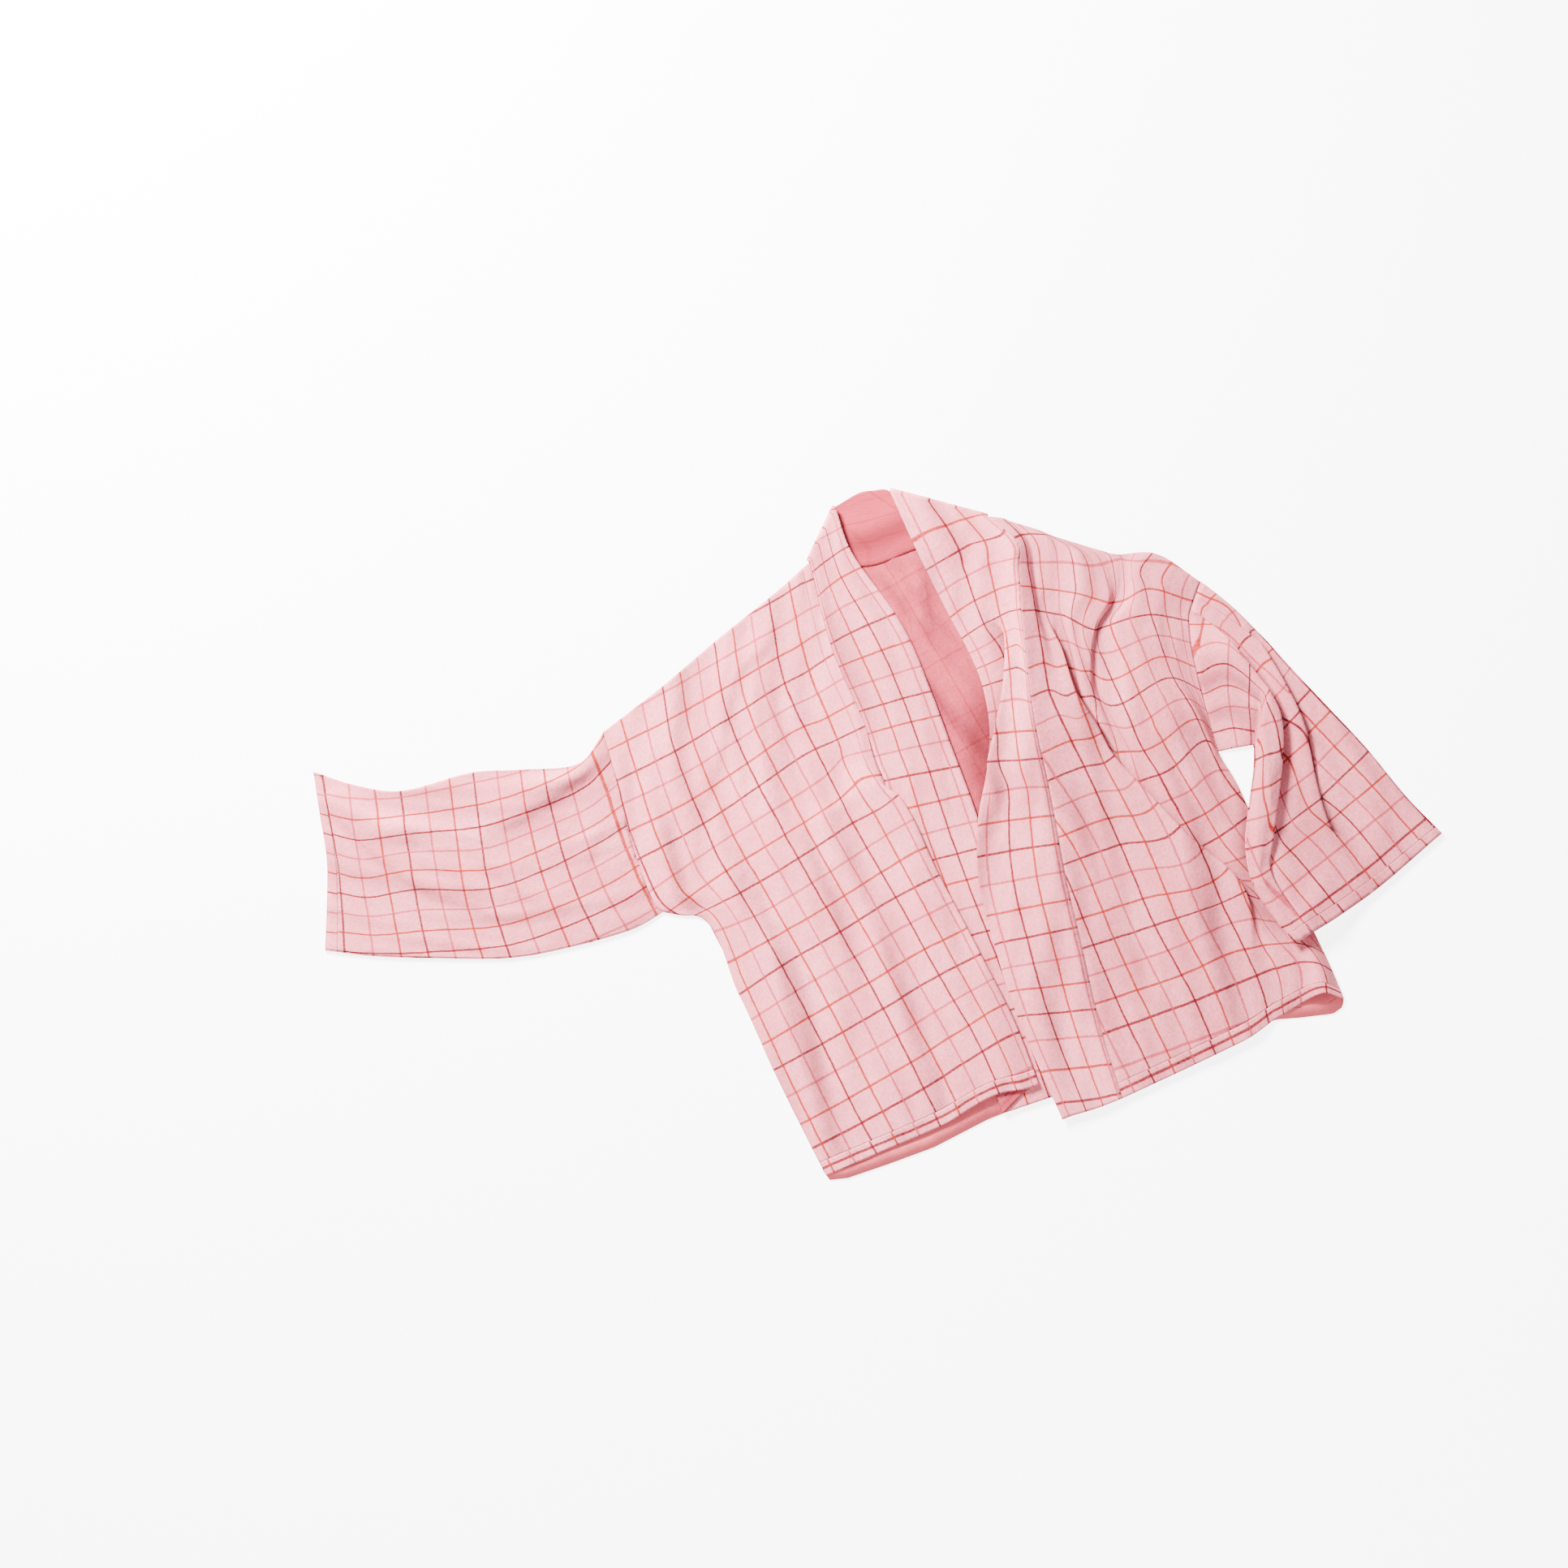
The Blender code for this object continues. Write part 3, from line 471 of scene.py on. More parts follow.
LEFT_CREASES = (
    (
        (268, 262, 0, 10, 14),
        (279, 212, 4, 9, 20),
        (294, 144, 6, 8, 24),
        (316, 80, 7, 8, 24),
        (342, 30, 5, 9, 20),
        (362, -16, 2, 12, 16),
        (374, -46, 0, 14, 12),
    ),
    (
        (144, 84, 0, 6, 16),
        (187, 16, 1.6, 6, 18),
        (212, -60, 1.6, 6, 18),
        (230, -145, 0, 6, 18),
    ),
    (
        (289, -103, 0, 14, 20),
        (323, -162, 2, 14, 22),
        (357, -222, 1.2, 14, 20),
    ),
)
BACK_CREASES = (
    (
        (37, 282, 0, 6, 12),
        (43, 262, 5, 6, 14),
        (50, 225, 4, 6, 14),
        (56, 190, 0, 6, 12),
    ),
    (
        (-1, 276, 0, 8, 14),
        (18, 235, 3.5, 8, 16),
        (44, 170, 3, 8, 16),
        (66, 110, 0, 8, 14),
    ),
    (
        (16, 300, 0, 5, 9),
        (28, 266, 3, 5, 10),
        (34, 225, 0, 5, 9),
    ),
)
SLEEVE_RIGHT_CREASES = (
    (
        (-576, 46, 0, 20, 9),
        (-554, 14, 3.5, 24, 9),
        (-512, -25, 4.5, 26, 9),
        (-469, -54, 4, 24, 9),
        (-415, -74, 2, 22, 9),
        (-374, -84, 0, 20, 9),
    ),
    (
        (-437, 46, 0, 22, 8),
        (-430, -1, 3, 24, 8),
        (-398, -37, 3.5, 24, 8),
        (-361, -64, 2, 22, 8),
        (-323, -77, 0, 20, 8),
    ),
    (
        (-293, 25, 0, 10, 22),
        (-301, -14, 2.5, 10, 22),
        (-310, -52, 0, 10, 20),
    ),
    (
        (-505, 46, 0, 8, 16),
        (-495, 16, 2, 8, 16),
        (-476, -14, 0, 8, 16),
    ),
)

# The left sleeve's sections from armhole to cuff: its lower edge, the middle of the pocket or roll, the
# fold that lies over the cloth beyond it, a second tuck, its upper edge and the lower layer's lift.
# The roll starts before row ROLL_ROW.
FOLDED_SLEEVE = (
    ((357, 88), (340, 161), (332, 235), (336, 250), (341, 264), 0),
    ((376, 92), (366, 148), (366, 204), (369, 226), (373, 238), 0),
    ((394, 95), (399, 129), (402, 158), (400, 201), (402, 209), 0),
    ((395, 91), (402, 125), (407, 152), (406, 192), (408, 203), 2),
    ((394, 67), (408, 97), (420, 122), (428, 153), (434, 174), 3),
    ((388, 25), (405, 48), (421, 76), (447, 110), (467, 139), 6),
    ((385, -15), (397, -9), (411, -1), (462, 46), (511, 92), 8),
    ((396, -59), (402, -52), (411, -42), (480, -1), (553, 41), 10),
    ((434, -112), (443, -108), (452, -102), (518, -60), (591, 2), 11),
)
ROLL_ROW = 3

# Heights over the sleeve's upper layer, at seven stations: the lower edge, the roll, the top and foot of
# the fold, the top and foot of the tuck, and the upper edge.
FOLDED_HEIGHTS = (
    (0, 1, 2, 0.5, 0.5, 0, 0),
    (0, 0.5, 9, 0.5, 1, 0.5, 0),
    (0, 0.2, 13, 0.5, 4, 0.5, 0),
    (5, 12, 14, 0.5, 5.5, 0.5, 0),
    (6, 13.5, 13.5, 0.5, 7, 0.5, 0),
    (6, 12.5, 12, 0.5, 7, 0.5, 0),
    (5, 9.5, 8, 0.5, 4, 3, 0),
    (3, 4.5, 3.5, 1.5, 1.5, 1.5, 0),
    (0, 1, 1, 1, 1, 1, 0),
)

# Places round the sleeve and distances from its cuff at the same stations.
FOLDED_ROUND = (
    (231, 147, 74, 42, 28, 26, 13),
    (229, 172, 108, 50, 31, 30, 19),
    (222, 188, 124, 60, 27, 7, 0),
    (167, 150, 130, 63, 30, 8, 0),
    (176, 151, 131, 74, 44, 18, -1),
    (178, 158, 141, 101, 67, 34, 0),
    (190, 177, 165, 152, 72, 66, 1),
    (200, 191, 182, 178, 95, 94, 1),
    (209, 198, 187, 187, 101, 101, 0),
)
FOLDED_ALONG = (
    (350, 353, 372, 371, 376, 376, 381),
    (331, 331, 330, 316, 326, 325, 333),
    (293, 284, 277, 254, 287, 285, 288),
    (218, 247, 269, 246, 277, 273, 279),
    (195, 217, 238, 219, 233, 227, 234),
    (154, 172, 192, 179, 186, 181, 187),
    (113, 115, 117, 112, 122, 120, 119),
    (67, 71, 75, 73, 64, 64, 51),
    (0, 0, 0, 0, 0, 0, 0),
)

# A fold leans this far over its foot once it is FOLD_FULL high. Then the points between the stations,
# how they crowd at the roll's end, and the share of a stretch left free beside a fold's and a tuck's foot.
FOLD_OVERHANG = 1.0
FOLD_FULL = 5.0
LOW_POINTS = 12
ROLL_POINTS = 13
ROLL_CROWDING = 1.6
FOLD_POINTS = 15
HIGH_POINTS = 12
BESIDE_FOLD = 0.04
BESIDE_TUCK = 0.08

SLEEVE_LEFT_CREASES = (
    (
        (493, 144, 0, 14, 20),
        (518, 67, 2.2, 14, 24),
        (527, 8, 2.6, 14, 24),
        (510, -52, 1, 14, 20),
    ),
    (
        (442, -103, 1, 10, 16),
        (452, -69, 2.5, 10, 18),
        (476, -26, 0, 10, 18),
    ),
)


def rows_of(columns, table):
    """The table's columns by name, each as an array."""
    names = columns.split()
    return {name: np.array([row[i] for row in table], float) for i, name in enumerate(names)}


def smooth(knots, values, at):
    """A smooth curve through values at rising knots, read at the places given."""
    knots = np.asarray(knots, float)
    values = np.asarray(values, float)
    at = np.asarray(at, float)
    slopes = np.gradient(values, knots, axis=0)
    k = np.clip(np.searchsorted(knots, at, side="right") - 1, 0, len(knots) - 2)
    span = knots[k + 1] - knots[k]
    t = (at - knots[k]) / span
    shape = (-1,) + (1,) * (values.ndim - 1)
    t = t.reshape(shape)
    span = span.reshape(shape)
    keep = (1 + 2 * t) * (1 - t) ** 2
    take = t * t * (3 - 2 * t)
    leave = t * (1 - t) ** 2 * span
    arrive = t * t * (t - 1) * span
    return keep * values[k] + take * values[k + 1] + leave * slopes[k] + arrive * slopes[k + 1]


def between(knots, counts):
    """Places at each knot and evenly between: counts gives the steps in each interval."""
    places = [np.linspace(a, b, n, endpoint=False) for a, b, n in zip(knots, knots[1:], counts)]
    return np.append(np.concatenate(places), knots[-1])


def at_level(points, height):
    """Plan points with a height added."""
    points = np.asarray(points, float)
    height = np.broadcast_to(np.asarray(height, float), points.shape[:-1])
    return np.concatenate([points, height[..., None]], axis=-1)


def fine_rows(columns, table, down):
    """The table's columns by name, read at the distances down the cloth."""
    t = rows_of(columns, table)
    return {name: smooth(t["down"], values, down) for name, values in t.items()}


def outward_of(edge, before):
    """Unit plan directions square to an edge line, away from the points before it."""
    line = np.gradient(edge, axis=0)
    out = np.stack([-line[:, 1], line[:, 0]], axis=1)
    out *= np.sign(np.sum(out * (edge - before), axis=1))[:, None]
    return out / np.linalg.norm(out, axis=1, keepdims=True)


def fold_columns(before, edge, end, high, low, folded, angles, doubled=True):
    """Columns of a fold whose edge leans over the cloth after it, down to its end.

    The cloth turns back under its edge and, where doubled, forward again at its foot. folded runs from
    0, where the same columns spread over a plain slope, to 1.
    """
    out = outward_of(edge, before)
    room = np.sum((edge - before) * out, axis=1)
    radius = (high - low) / (4 if doubled else 2)
    start = -np.minimum(radius + RUN_UP, radius + (room - radius) * RUN_UP_SHARE)
    plan = [start]
    height = [high]
    for angle in np.radians(angles):
        plan.append(-radius * (1 - math.sin(angle)))
        height.append(high - radius * (1 - math.cos(angle)))
    if doubled:
        for angle in np.radians(angles):
            plan.append(-radius * (1 + math.sin(angle)) - OVERHANG * folded)
            height.append(high - radius * (3 - math.cos(angle)))
    first = edge + (before - edge) * np.clip(-start / room, 0, 1)[:, None]
    columns = []
    count = len(plan)
    for k in range(count):
        share = k / count
        slope = share * share * (3 - 2 * share)
        flat = at_level(first + (end - first) * share, high + (low - high) * slope)
        bent = at_level(edge + out * plan[k][:, None], height[k])
        columns.append(flat + (bent - flat) * folded[:, None])
    return columns + [at_level(end, low)]


def turned_share(lift, cloth):
    """How far a fold is turned under, from its lift: a low one is only a slope."""
    return np.clip((lift - TURN_FROM * cloth) / (TURN_OVER * cloth), 0, 1)


def drape(stations, steps):
    """The grid of points of a piece: smooth curves across through its stations, row by row."""
    rows = []
    for row in np.stack(stations, axis=1):
        length = steps_along(row)
        places = between(length, steps)
        line = smooth(length, row, places)
        k = np.clip(np.searchsorted(length, places, side="right") - 1, 0, len(length) - 2)
        ends = np.stack([row[k, 2], row[k + 1, 2]])
        line[:, 2] = np.clip(line[:, 2], ends.min(axis=0), ends.max(axis=0))
        rows.append(line)
    return np.array(rows)


def ridge_height(points, table):
    """Height of a soft ridge over plan points."""
    ridge = rows_of(RIDGE_COLUMNS, table)
    knots = np.arange(len(table))
    fine = np.linspace(0, knots[-1], RIDGE_STEPS * knots[-1] + 1)
    line = smooth(knots, np.stack([ridge["x"], ridge["y"]], axis=1), fine)
    way = np.gradient(line, axis=0)
    way /= np.linalg.norm(way, axis=1, keepdims=True)
    offset = points[..., None, :2] - line
    distance = np.linalg.norm(offset, axis=-1)
    nearest = np.argmin(distance, axis=-1)
    near = np.take_along_axis(distance, nearest[..., None], axis=-1)[..., 0]
    across = np.take_along_axis(offset, nearest[..., None, None], axis=-2)[..., 0, :]
    ahead = way[nearest]
    on_left = ahead[..., 0] * across[..., 1] - ahead[..., 1] * across[..., 0] > 0
    height = np.interp(fine, knots, ridge["height"])[nearest]
    left = np.interp(fine, knots, ridge["left"])[nearest]
    right = np.interp(fine, knots, ridge["right"])[nearest]
    reach = np.where(on_left, left, right)
    return height * np.exp(-((near / reach) ** 2) * RIDGE_FALL)


def even_counts(knots, step):
    """How many steps of about that length fit each interval between the knots."""
    return [max(1, round(abs(b - a) / step)) for a, b in zip(knots, knots[1:])]


def down_of(table, step):
    """Distances down the cloth of a front's fine rows."""
    knots = [row[0] for row in table]
    knots.insert(-1, knots[-1] - HEM_STRIP)
    return between(knots, even_counts(knots[:-1], step) + [HEM_ROWS])


DOWN_RIGHT = down_of(FRONT_RIGHT, STEP)
DOWN_LEFT = down_of(FRONT_LEFT, STEP)


def chord_share(grid):
    """Distance along each row of a grid, from its first point."""
    steps = np.linalg.norm(np.diff(grid, axis=1), axis=2)
    return np.concatenate([np.zeros((len(grid), 1)), np.cumsum(steps, axis=1)], axis=1)


def cloth_across(grid, columns, places):
    """Where each point of a grid lies across the cut cloth, from known places at some columns."""
    length = chord_share(grid)
    across = np.empty(length.shape)
    for i, row in enumerate(length):
        across[i] = np.interp(row, row[list(columns)], [place[i] for place in places])
    return across


def front_right_grid():
    """The wearer's right front, which turns under at its ridge, and its places on the cut cloth."""
    t = fine_rows(FRONT_RIGHT_COLUMNS, FRONT_RIGHT, DOWN_RIGHT)
    raised = np.clip(t["folded"] * 2, 0, 1)
    folded = np.clip(t["folded"] * 2 - 1, 0, 1)
    low = FRONT_LEVEL + (OVER_BAND - FRONT_LEVEL) * folded
    high = FRONT_LEVEL + (OVER_BAND + TURN_HEIGHT - FRONT_LEVEL) * raised + LEAST_LIFT
    fold = fold_columns(t["warp_3"], t["ridge"], t["seam"], high, low, folded, FRONT_TURN, False)
    rise = high - FRONT_LEVEL
    warps = [at_level(t[f"warp_{i}"], FRONT_LEVEL + rise * part) for i, part in WARP_LIFT]
    stations = [at_level(t["side"], SIDE_LEVEL), *warps, *fold]
    steps = (*RIGHT_STEPS, *[1] * len(FRONT_TURN), RIGHT_LAST_STEPS)
    grid = drape(stations, steps)
    before_turn = sum(RIGHT_STEPS)
    column = np.arange(before_turn + 1)
    calm = np.clip((before_turn - CALM_AT_TURN - column) / CALM_BEFORE_TURN, 0, 1)
    calm = calm * np.clip(column / CALM_AT_RIGHT_SIDE, 0, 1)
    for ridge in RIGHT_CREASES:
        grid[:, column, 2] += ridge_height(grid[:, column], ridge) * calm
    grid[..., 2] = np.maximum(grid[..., 2], SIDE_LEVEL)
    c = fine_rows(CLOTH_RIGHT_COLUMNS, CLOTH_RIGHT, DOWN_RIGHT)
    ridge_column = before_turn + 1 + len(FRONT_TURN) // 2
    warps = [k * 3 * WARP_PITCH + 0 * c["side"] for k in (1, 2, 3)]
    columns = (0, *np.cumsum(RIGHT_STEPS[:3]), ridge_column, grid.shape[1] - 1)
    across = cloth_across(grid, columns, (c["side"], *warps, c["ridge"], c["seam"]))
    hem = HEM_DOWN + HEM_SLANT * across
    down = cloth_down(DOWN_RIGHT, SHOULDER_DROP * (1 - across / FRONT_WIDTH), hem)
    length = chord_share(grid)
    armhole = length + np.clip(DOWN_RIGHT - ARMHOLE_RIGHT, 0, None)[:, None]
    seams = np.minimum(armhole, length[:, -1:] - length)
    return grid, np.stack([across, down], axis=-1), np.stack([hem - down, seams], axis=-1)


def cloth_down(down, top, hem):
    """Where each point lies down the cut cloth, between the shoulder's line and the hem's."""
    down = down[:, None]
    start = top + down / STRAIGHT_FROM * (STRAIGHT_FROM - top)
    end = STRAIGHT_TO + (down - STRAIGHT_TO) / (down[-1] - STRAIGHT_TO) * (hem - STRAIGHT_TO)
    return np.where(down < STRAIGHT_FROM, start, np.where(down > STRAIGHT_TO, end, down + 0 * top))


def front_left_grid():
    """The wearer's left front, with its two overlapping folds, and its places on the cut cloth."""
    t = fine_rows(FRONT_LEFT_COLUMNS, FRONT_LEFT, DOWN_LEFT)
    low = np.full(len(t["down"]), FRONT_LEVEL)
    folds = []
    for name, before in (("fold", t["warp"]), ("flap", t["fold_end"])):
        lift = np.maximum(t["lift" if name == "fold" else "flap_lift"], LEAST_LIFT)
        folded = turned_share(lift, PLAIN_CLOTH)
        folds += fold_columns(before, t[name], t[name + "_end"], low + lift, low, folded, FRONT_TURN)
    seam_lift = np.maximum(t["seam_lift"], 0)
    seam = at_level(t["seam"], FRONT_LEVEL + seam_lift)
    warp = at_level(t["warp"], FRONT_LEVEL + (seam_lift + np.maximum(t["lift"], 0)) / 2)
    crest = at_level(t["crest"], FRONT_LEVEL + np.maximum(t["crest_lift"], 0))
    stations = [seam, warp, *folds, crest, at_level(t["side"], SIDE_LEVEL)]
    turned = [1] * (2 * len(FRONT_TURN) + 1)
    steps = (*LEFT_STEPS, *turned, FLAP_STEPS, *turned, *CREST_STEPS)
    grid = drape(stations, steps)
    last = grid.shape[1] - 1
    column = np.arange(last + 1)
    calm = np.clip(np.minimum(column, last - column) / CALM_AT_LEFT, 0, 1)
    for ridge in LEFT_CREASES:
        grid[..., 2] += ridge_height(grid, ridge) * calm
    grid[..., 2] = np.maximum(grid[..., 2], SIDE_LEVEL)
    c = fine_rows(CLOTH_LEFT_COLUMNS, CLOTH_LEFT, DOWN_LEFT)
    middle = 1 + len(FRONT_TURN) // 2
    fold_start = sum(LEFT_STEPS)
    fold_end = fold_start + len(turned)
    flap_start = fold_end + FLAP_STEPS
    flap_end = flap_start + len(turned)
    columns = (
        0, LEFT_STEPS[0], fold_start + middle, fold_end, flap_start + middle, flap_end,
        flap_end + CREST_STEPS[0], last)
    names = ("seam", None, "fold", "fold_end", "flap", "flap_end", "crest", "side")
    places = [c[name] if name else 0 * c["seam"] for name in names]
    across = cloth_across(grid, columns, places)
    top = SHOULDER_DROP * np.clip(across / FRONT_WIDTH, 0, 1)
    hem = HEM_DOWN + HEM_SLANT * (FRONT_WIDTH - across)
    down = cloth_down(DOWN_LEFT, top, hem)
    length = chord_share(grid)
    armhole = length[:, -1:] - length + np.clip(DOWN_LEFT - ARMHOLE_LEFT, 0, None)[:, None]
    seams = np.minimum(armhole, length)
    return grid, np.stack([across, down], axis=-1), np.stack([hem - down, seams], axis=-1)


def turn_rows(upper, lower, away):
    """Rows of the half turn from an upper layer to a lower one, bulging the way that is given."""
    rows = []
    for angle in np.linspace(0, math.pi, TURN_STEPS + 1)[1:-1]:
        swing = (1 - math.cos(angle)) / 2
        rows.append(upper + (lower - upper) * swing + away * NECK_TURN * math.sin(angle))
    return np.array(rows)


def neckband_grid(right_seam, left_seam):
    """The neckband: up the right front, over the fold at the neck, round the back and down the left."""
    right = fine_rows(BAND_RIGHT_COLUMNS, BAND_RIGHT, DOWN_RIGHT)
    left = fine_rows(BAND_LEFT_COLUMNS, BAND_LEFT, DOWN_LEFT)
    neck = rows_of(BAND_NECK_COLUMNS, BAND_NECK)
    steps = (BAND_STEPS, *[1] * (2 * len(BAND_TURN) + 1), BAND_STEPS)
    share = np.linspace(0, 1, sum(steps) + 1)[:, None]

    free = at_level(right["free"], BAND_LEVEL + right["free_lift"])
    seam = at_level(right_seam[:, :2], BAND_LEVEL + right["seam_lift"])
    up_right = np.stack([s + (f - s) * share for s, f in zip(seam, free)])

    lift = np.maximum(left["lift"], LEAST_LIFT)
    free_level = BAND_LEVEL + np.maximum(left["free_lift"], 0)
    fold = fold_columns(
        left_seam[:, :2], left["hump"], left["foot"], free_level + lift, free_level,
        turned_share(lift, BAND_CLOTH), BAND_TURN,
    )
    down_left = drape([left_seam, *fold, at_level(left["free"], free_level)], steps)

    knots = np.arange(len(neck["free"]))
    across_neck = np.linspace(0, knots[-1], NECK_POINTS)
    free = smooth(knots, at_level(neck["free"], BAND_CLOTH / 2), across_neck)
    seam = smooth(knots, at_level(neck["seam"], BAND_CLOTH / 2), across_neck)
    round_neck = np.stack([s + (f - s) * share for s, f in zip(seam, free)])

    first = turn_rows(up_right[0], round_neck[0], np.array(AWAY_AT_RIGHT))
    last = turn_rows(down_left[0], round_neck[-1], np.array(AWAY_AT_LEFT))[::-1]
    grid = np.concatenate([up_right[::-1], first, round_neck, last, down_left])
    along = band_along(up_right, down_left, len(first) + len(round_neck) + len(last))
    across = BAND_WIDTH * (1 - chord_share(grid) / chord_share(grid)[:, -1:])
    edges = np.stack([FAR + 0 * across, BAND_WIDTH - across], axis=-1)
    return grid, np.stack([across + BAND_FROM_DARK, along], axis=-1), edges


def band_along(up_right, down_left, between_count):
    """Where the neckband's points lie along its cut strip, counted in the check's dark wefts."""
    w = rows_of(BAND_WEFT_COLUMNS, BAND_WEFTS)
    along = []
    for name, down, sheet in (("right", DOWN_RIGHT, up_right), ("left", DOWN_LEFT, down_left)):
        seam, mid, free = (
            extended(w[f"{name}_{edge}"], w["weft"] * 3 * WEFT_PITCH, down)[:, None]
            for edge in ("seam", "mid", "free"))
        part = chord_share(sheet) / chord_share(sheet)[:, -1:]
        bow = 4 * part * (1 - part) * (mid - (seam + free) / 2)
        along.append(seam + (free - seam) * part + bow)
    round_back = along[1] + NECK_WEFTS * 3 * WEFT_PITCH
    between_sides = np.linspace(-along[0][0], round_back[0], between_count + 2)[1:-1]
    return np.concatenate([-along[0][::-1], between_sides, round_back])


def extended(knots, values, at):
    """Straight lines through values at rising knots, carried on past both ends."""
    inside = np.interp(at, knots, values)
    before = values[0] + (at - knots[0]) * (values[1] - values[0]) / (knots[1] - knots[0])
    after = values[-1] + (at - knots[-1]) * (values[-1] - values[-2]) / (knots[-1] - knots[-2])
    return np.where(at < knots[0], before, np.where(at > knots[-1], after, inside))


def steps_along(line):
    """Distance along a line at each of its points."""
    return np.append(0, np.cumsum(np.linalg.norm(np.diff(line, axis=0), axis=1)))


def along_line(line, distance):
    """Points of a plan line at distances from its start."""
    length = steps_along(line)
    return np.stack([np.interp(distance, length, line[:, k]) for k in (0, 1)], axis=-1)


def finer(line, count):
    """The same line with that many points, evenly along it."""
    return along_line(line, np.linspace(0, steps_along(line)[-1], count))


def armhole_edge(front, down, deepest, outward):
    """Plan points of a front's armhole edge from the underarm to the shoulder, moved over the gap."""
    count = int(np.sum(down <= deepest + 1e-6))
    return front[:count, -1, :2][::-1] + np.array([outward * SEAM_GAP, 0])


def inward_of(line, towards):
    """Unit plan directions square to a line, on the side of the points given."""
    way = np.gradient(line, axis=0)
    inward = np.stack([-way[:, 1], way[:, 0]], axis=1)
    inward *= np.sign(np.sum(inward * (towards - line), axis=1))[:, None]
    return inward / np.linalg.norm(inward, axis=1, keepdims=True)


def in_blocks(values, at, split):
    """Smooth curves through table rows, with a break before the row numbered split, if any."""
    values = np.asarray(values, float)
    knots = np.arange(len(values))
    if not split:
        return smooth(knots, values, at)
    first = at <= split - 1
    return np.concatenate([
        smooth(knots[:split], values[:split], at[first]),
        smooth(knots[split:], values[split:], at[~first])])


def folded_stations():
    """Places along a folded section: in stations, with each top and foot apart, and which way it leans.

    Each part holds the places up to a station, and how many feet of folds lie before them.
    """
    crowded = 1 - (1 - np.linspace(0, 1, ROLL_POINTS)) ** ROLL_CROWDING
    parts = [
        (np.linspace(0, 1, LOW_POINTS, endpoint=False), 0),
        (1 + crowded, 0),
        (2 + np.append(0, np.linspace(BESIDE_FOLD, 1 - BESIDE_FOLD, FOLD_POINTS)), 1),
        (np.array([3.0]), 1),
        (3 + np.append(0, np.linspace(BESIDE_TUCK, 1, HIGH_POINTS)), 2),
    ]
    plain = np.concatenate([part for part, _ in parts])
    doubled = np.concatenate([part + shift for part, shift in parts])
    overhang = np.where(np.isin(doubled, (2, 4)), 1.0, np.where(np.isin(doubled, (3, 5)), -1.0, 0.0))
    return plain, doubled, overhang


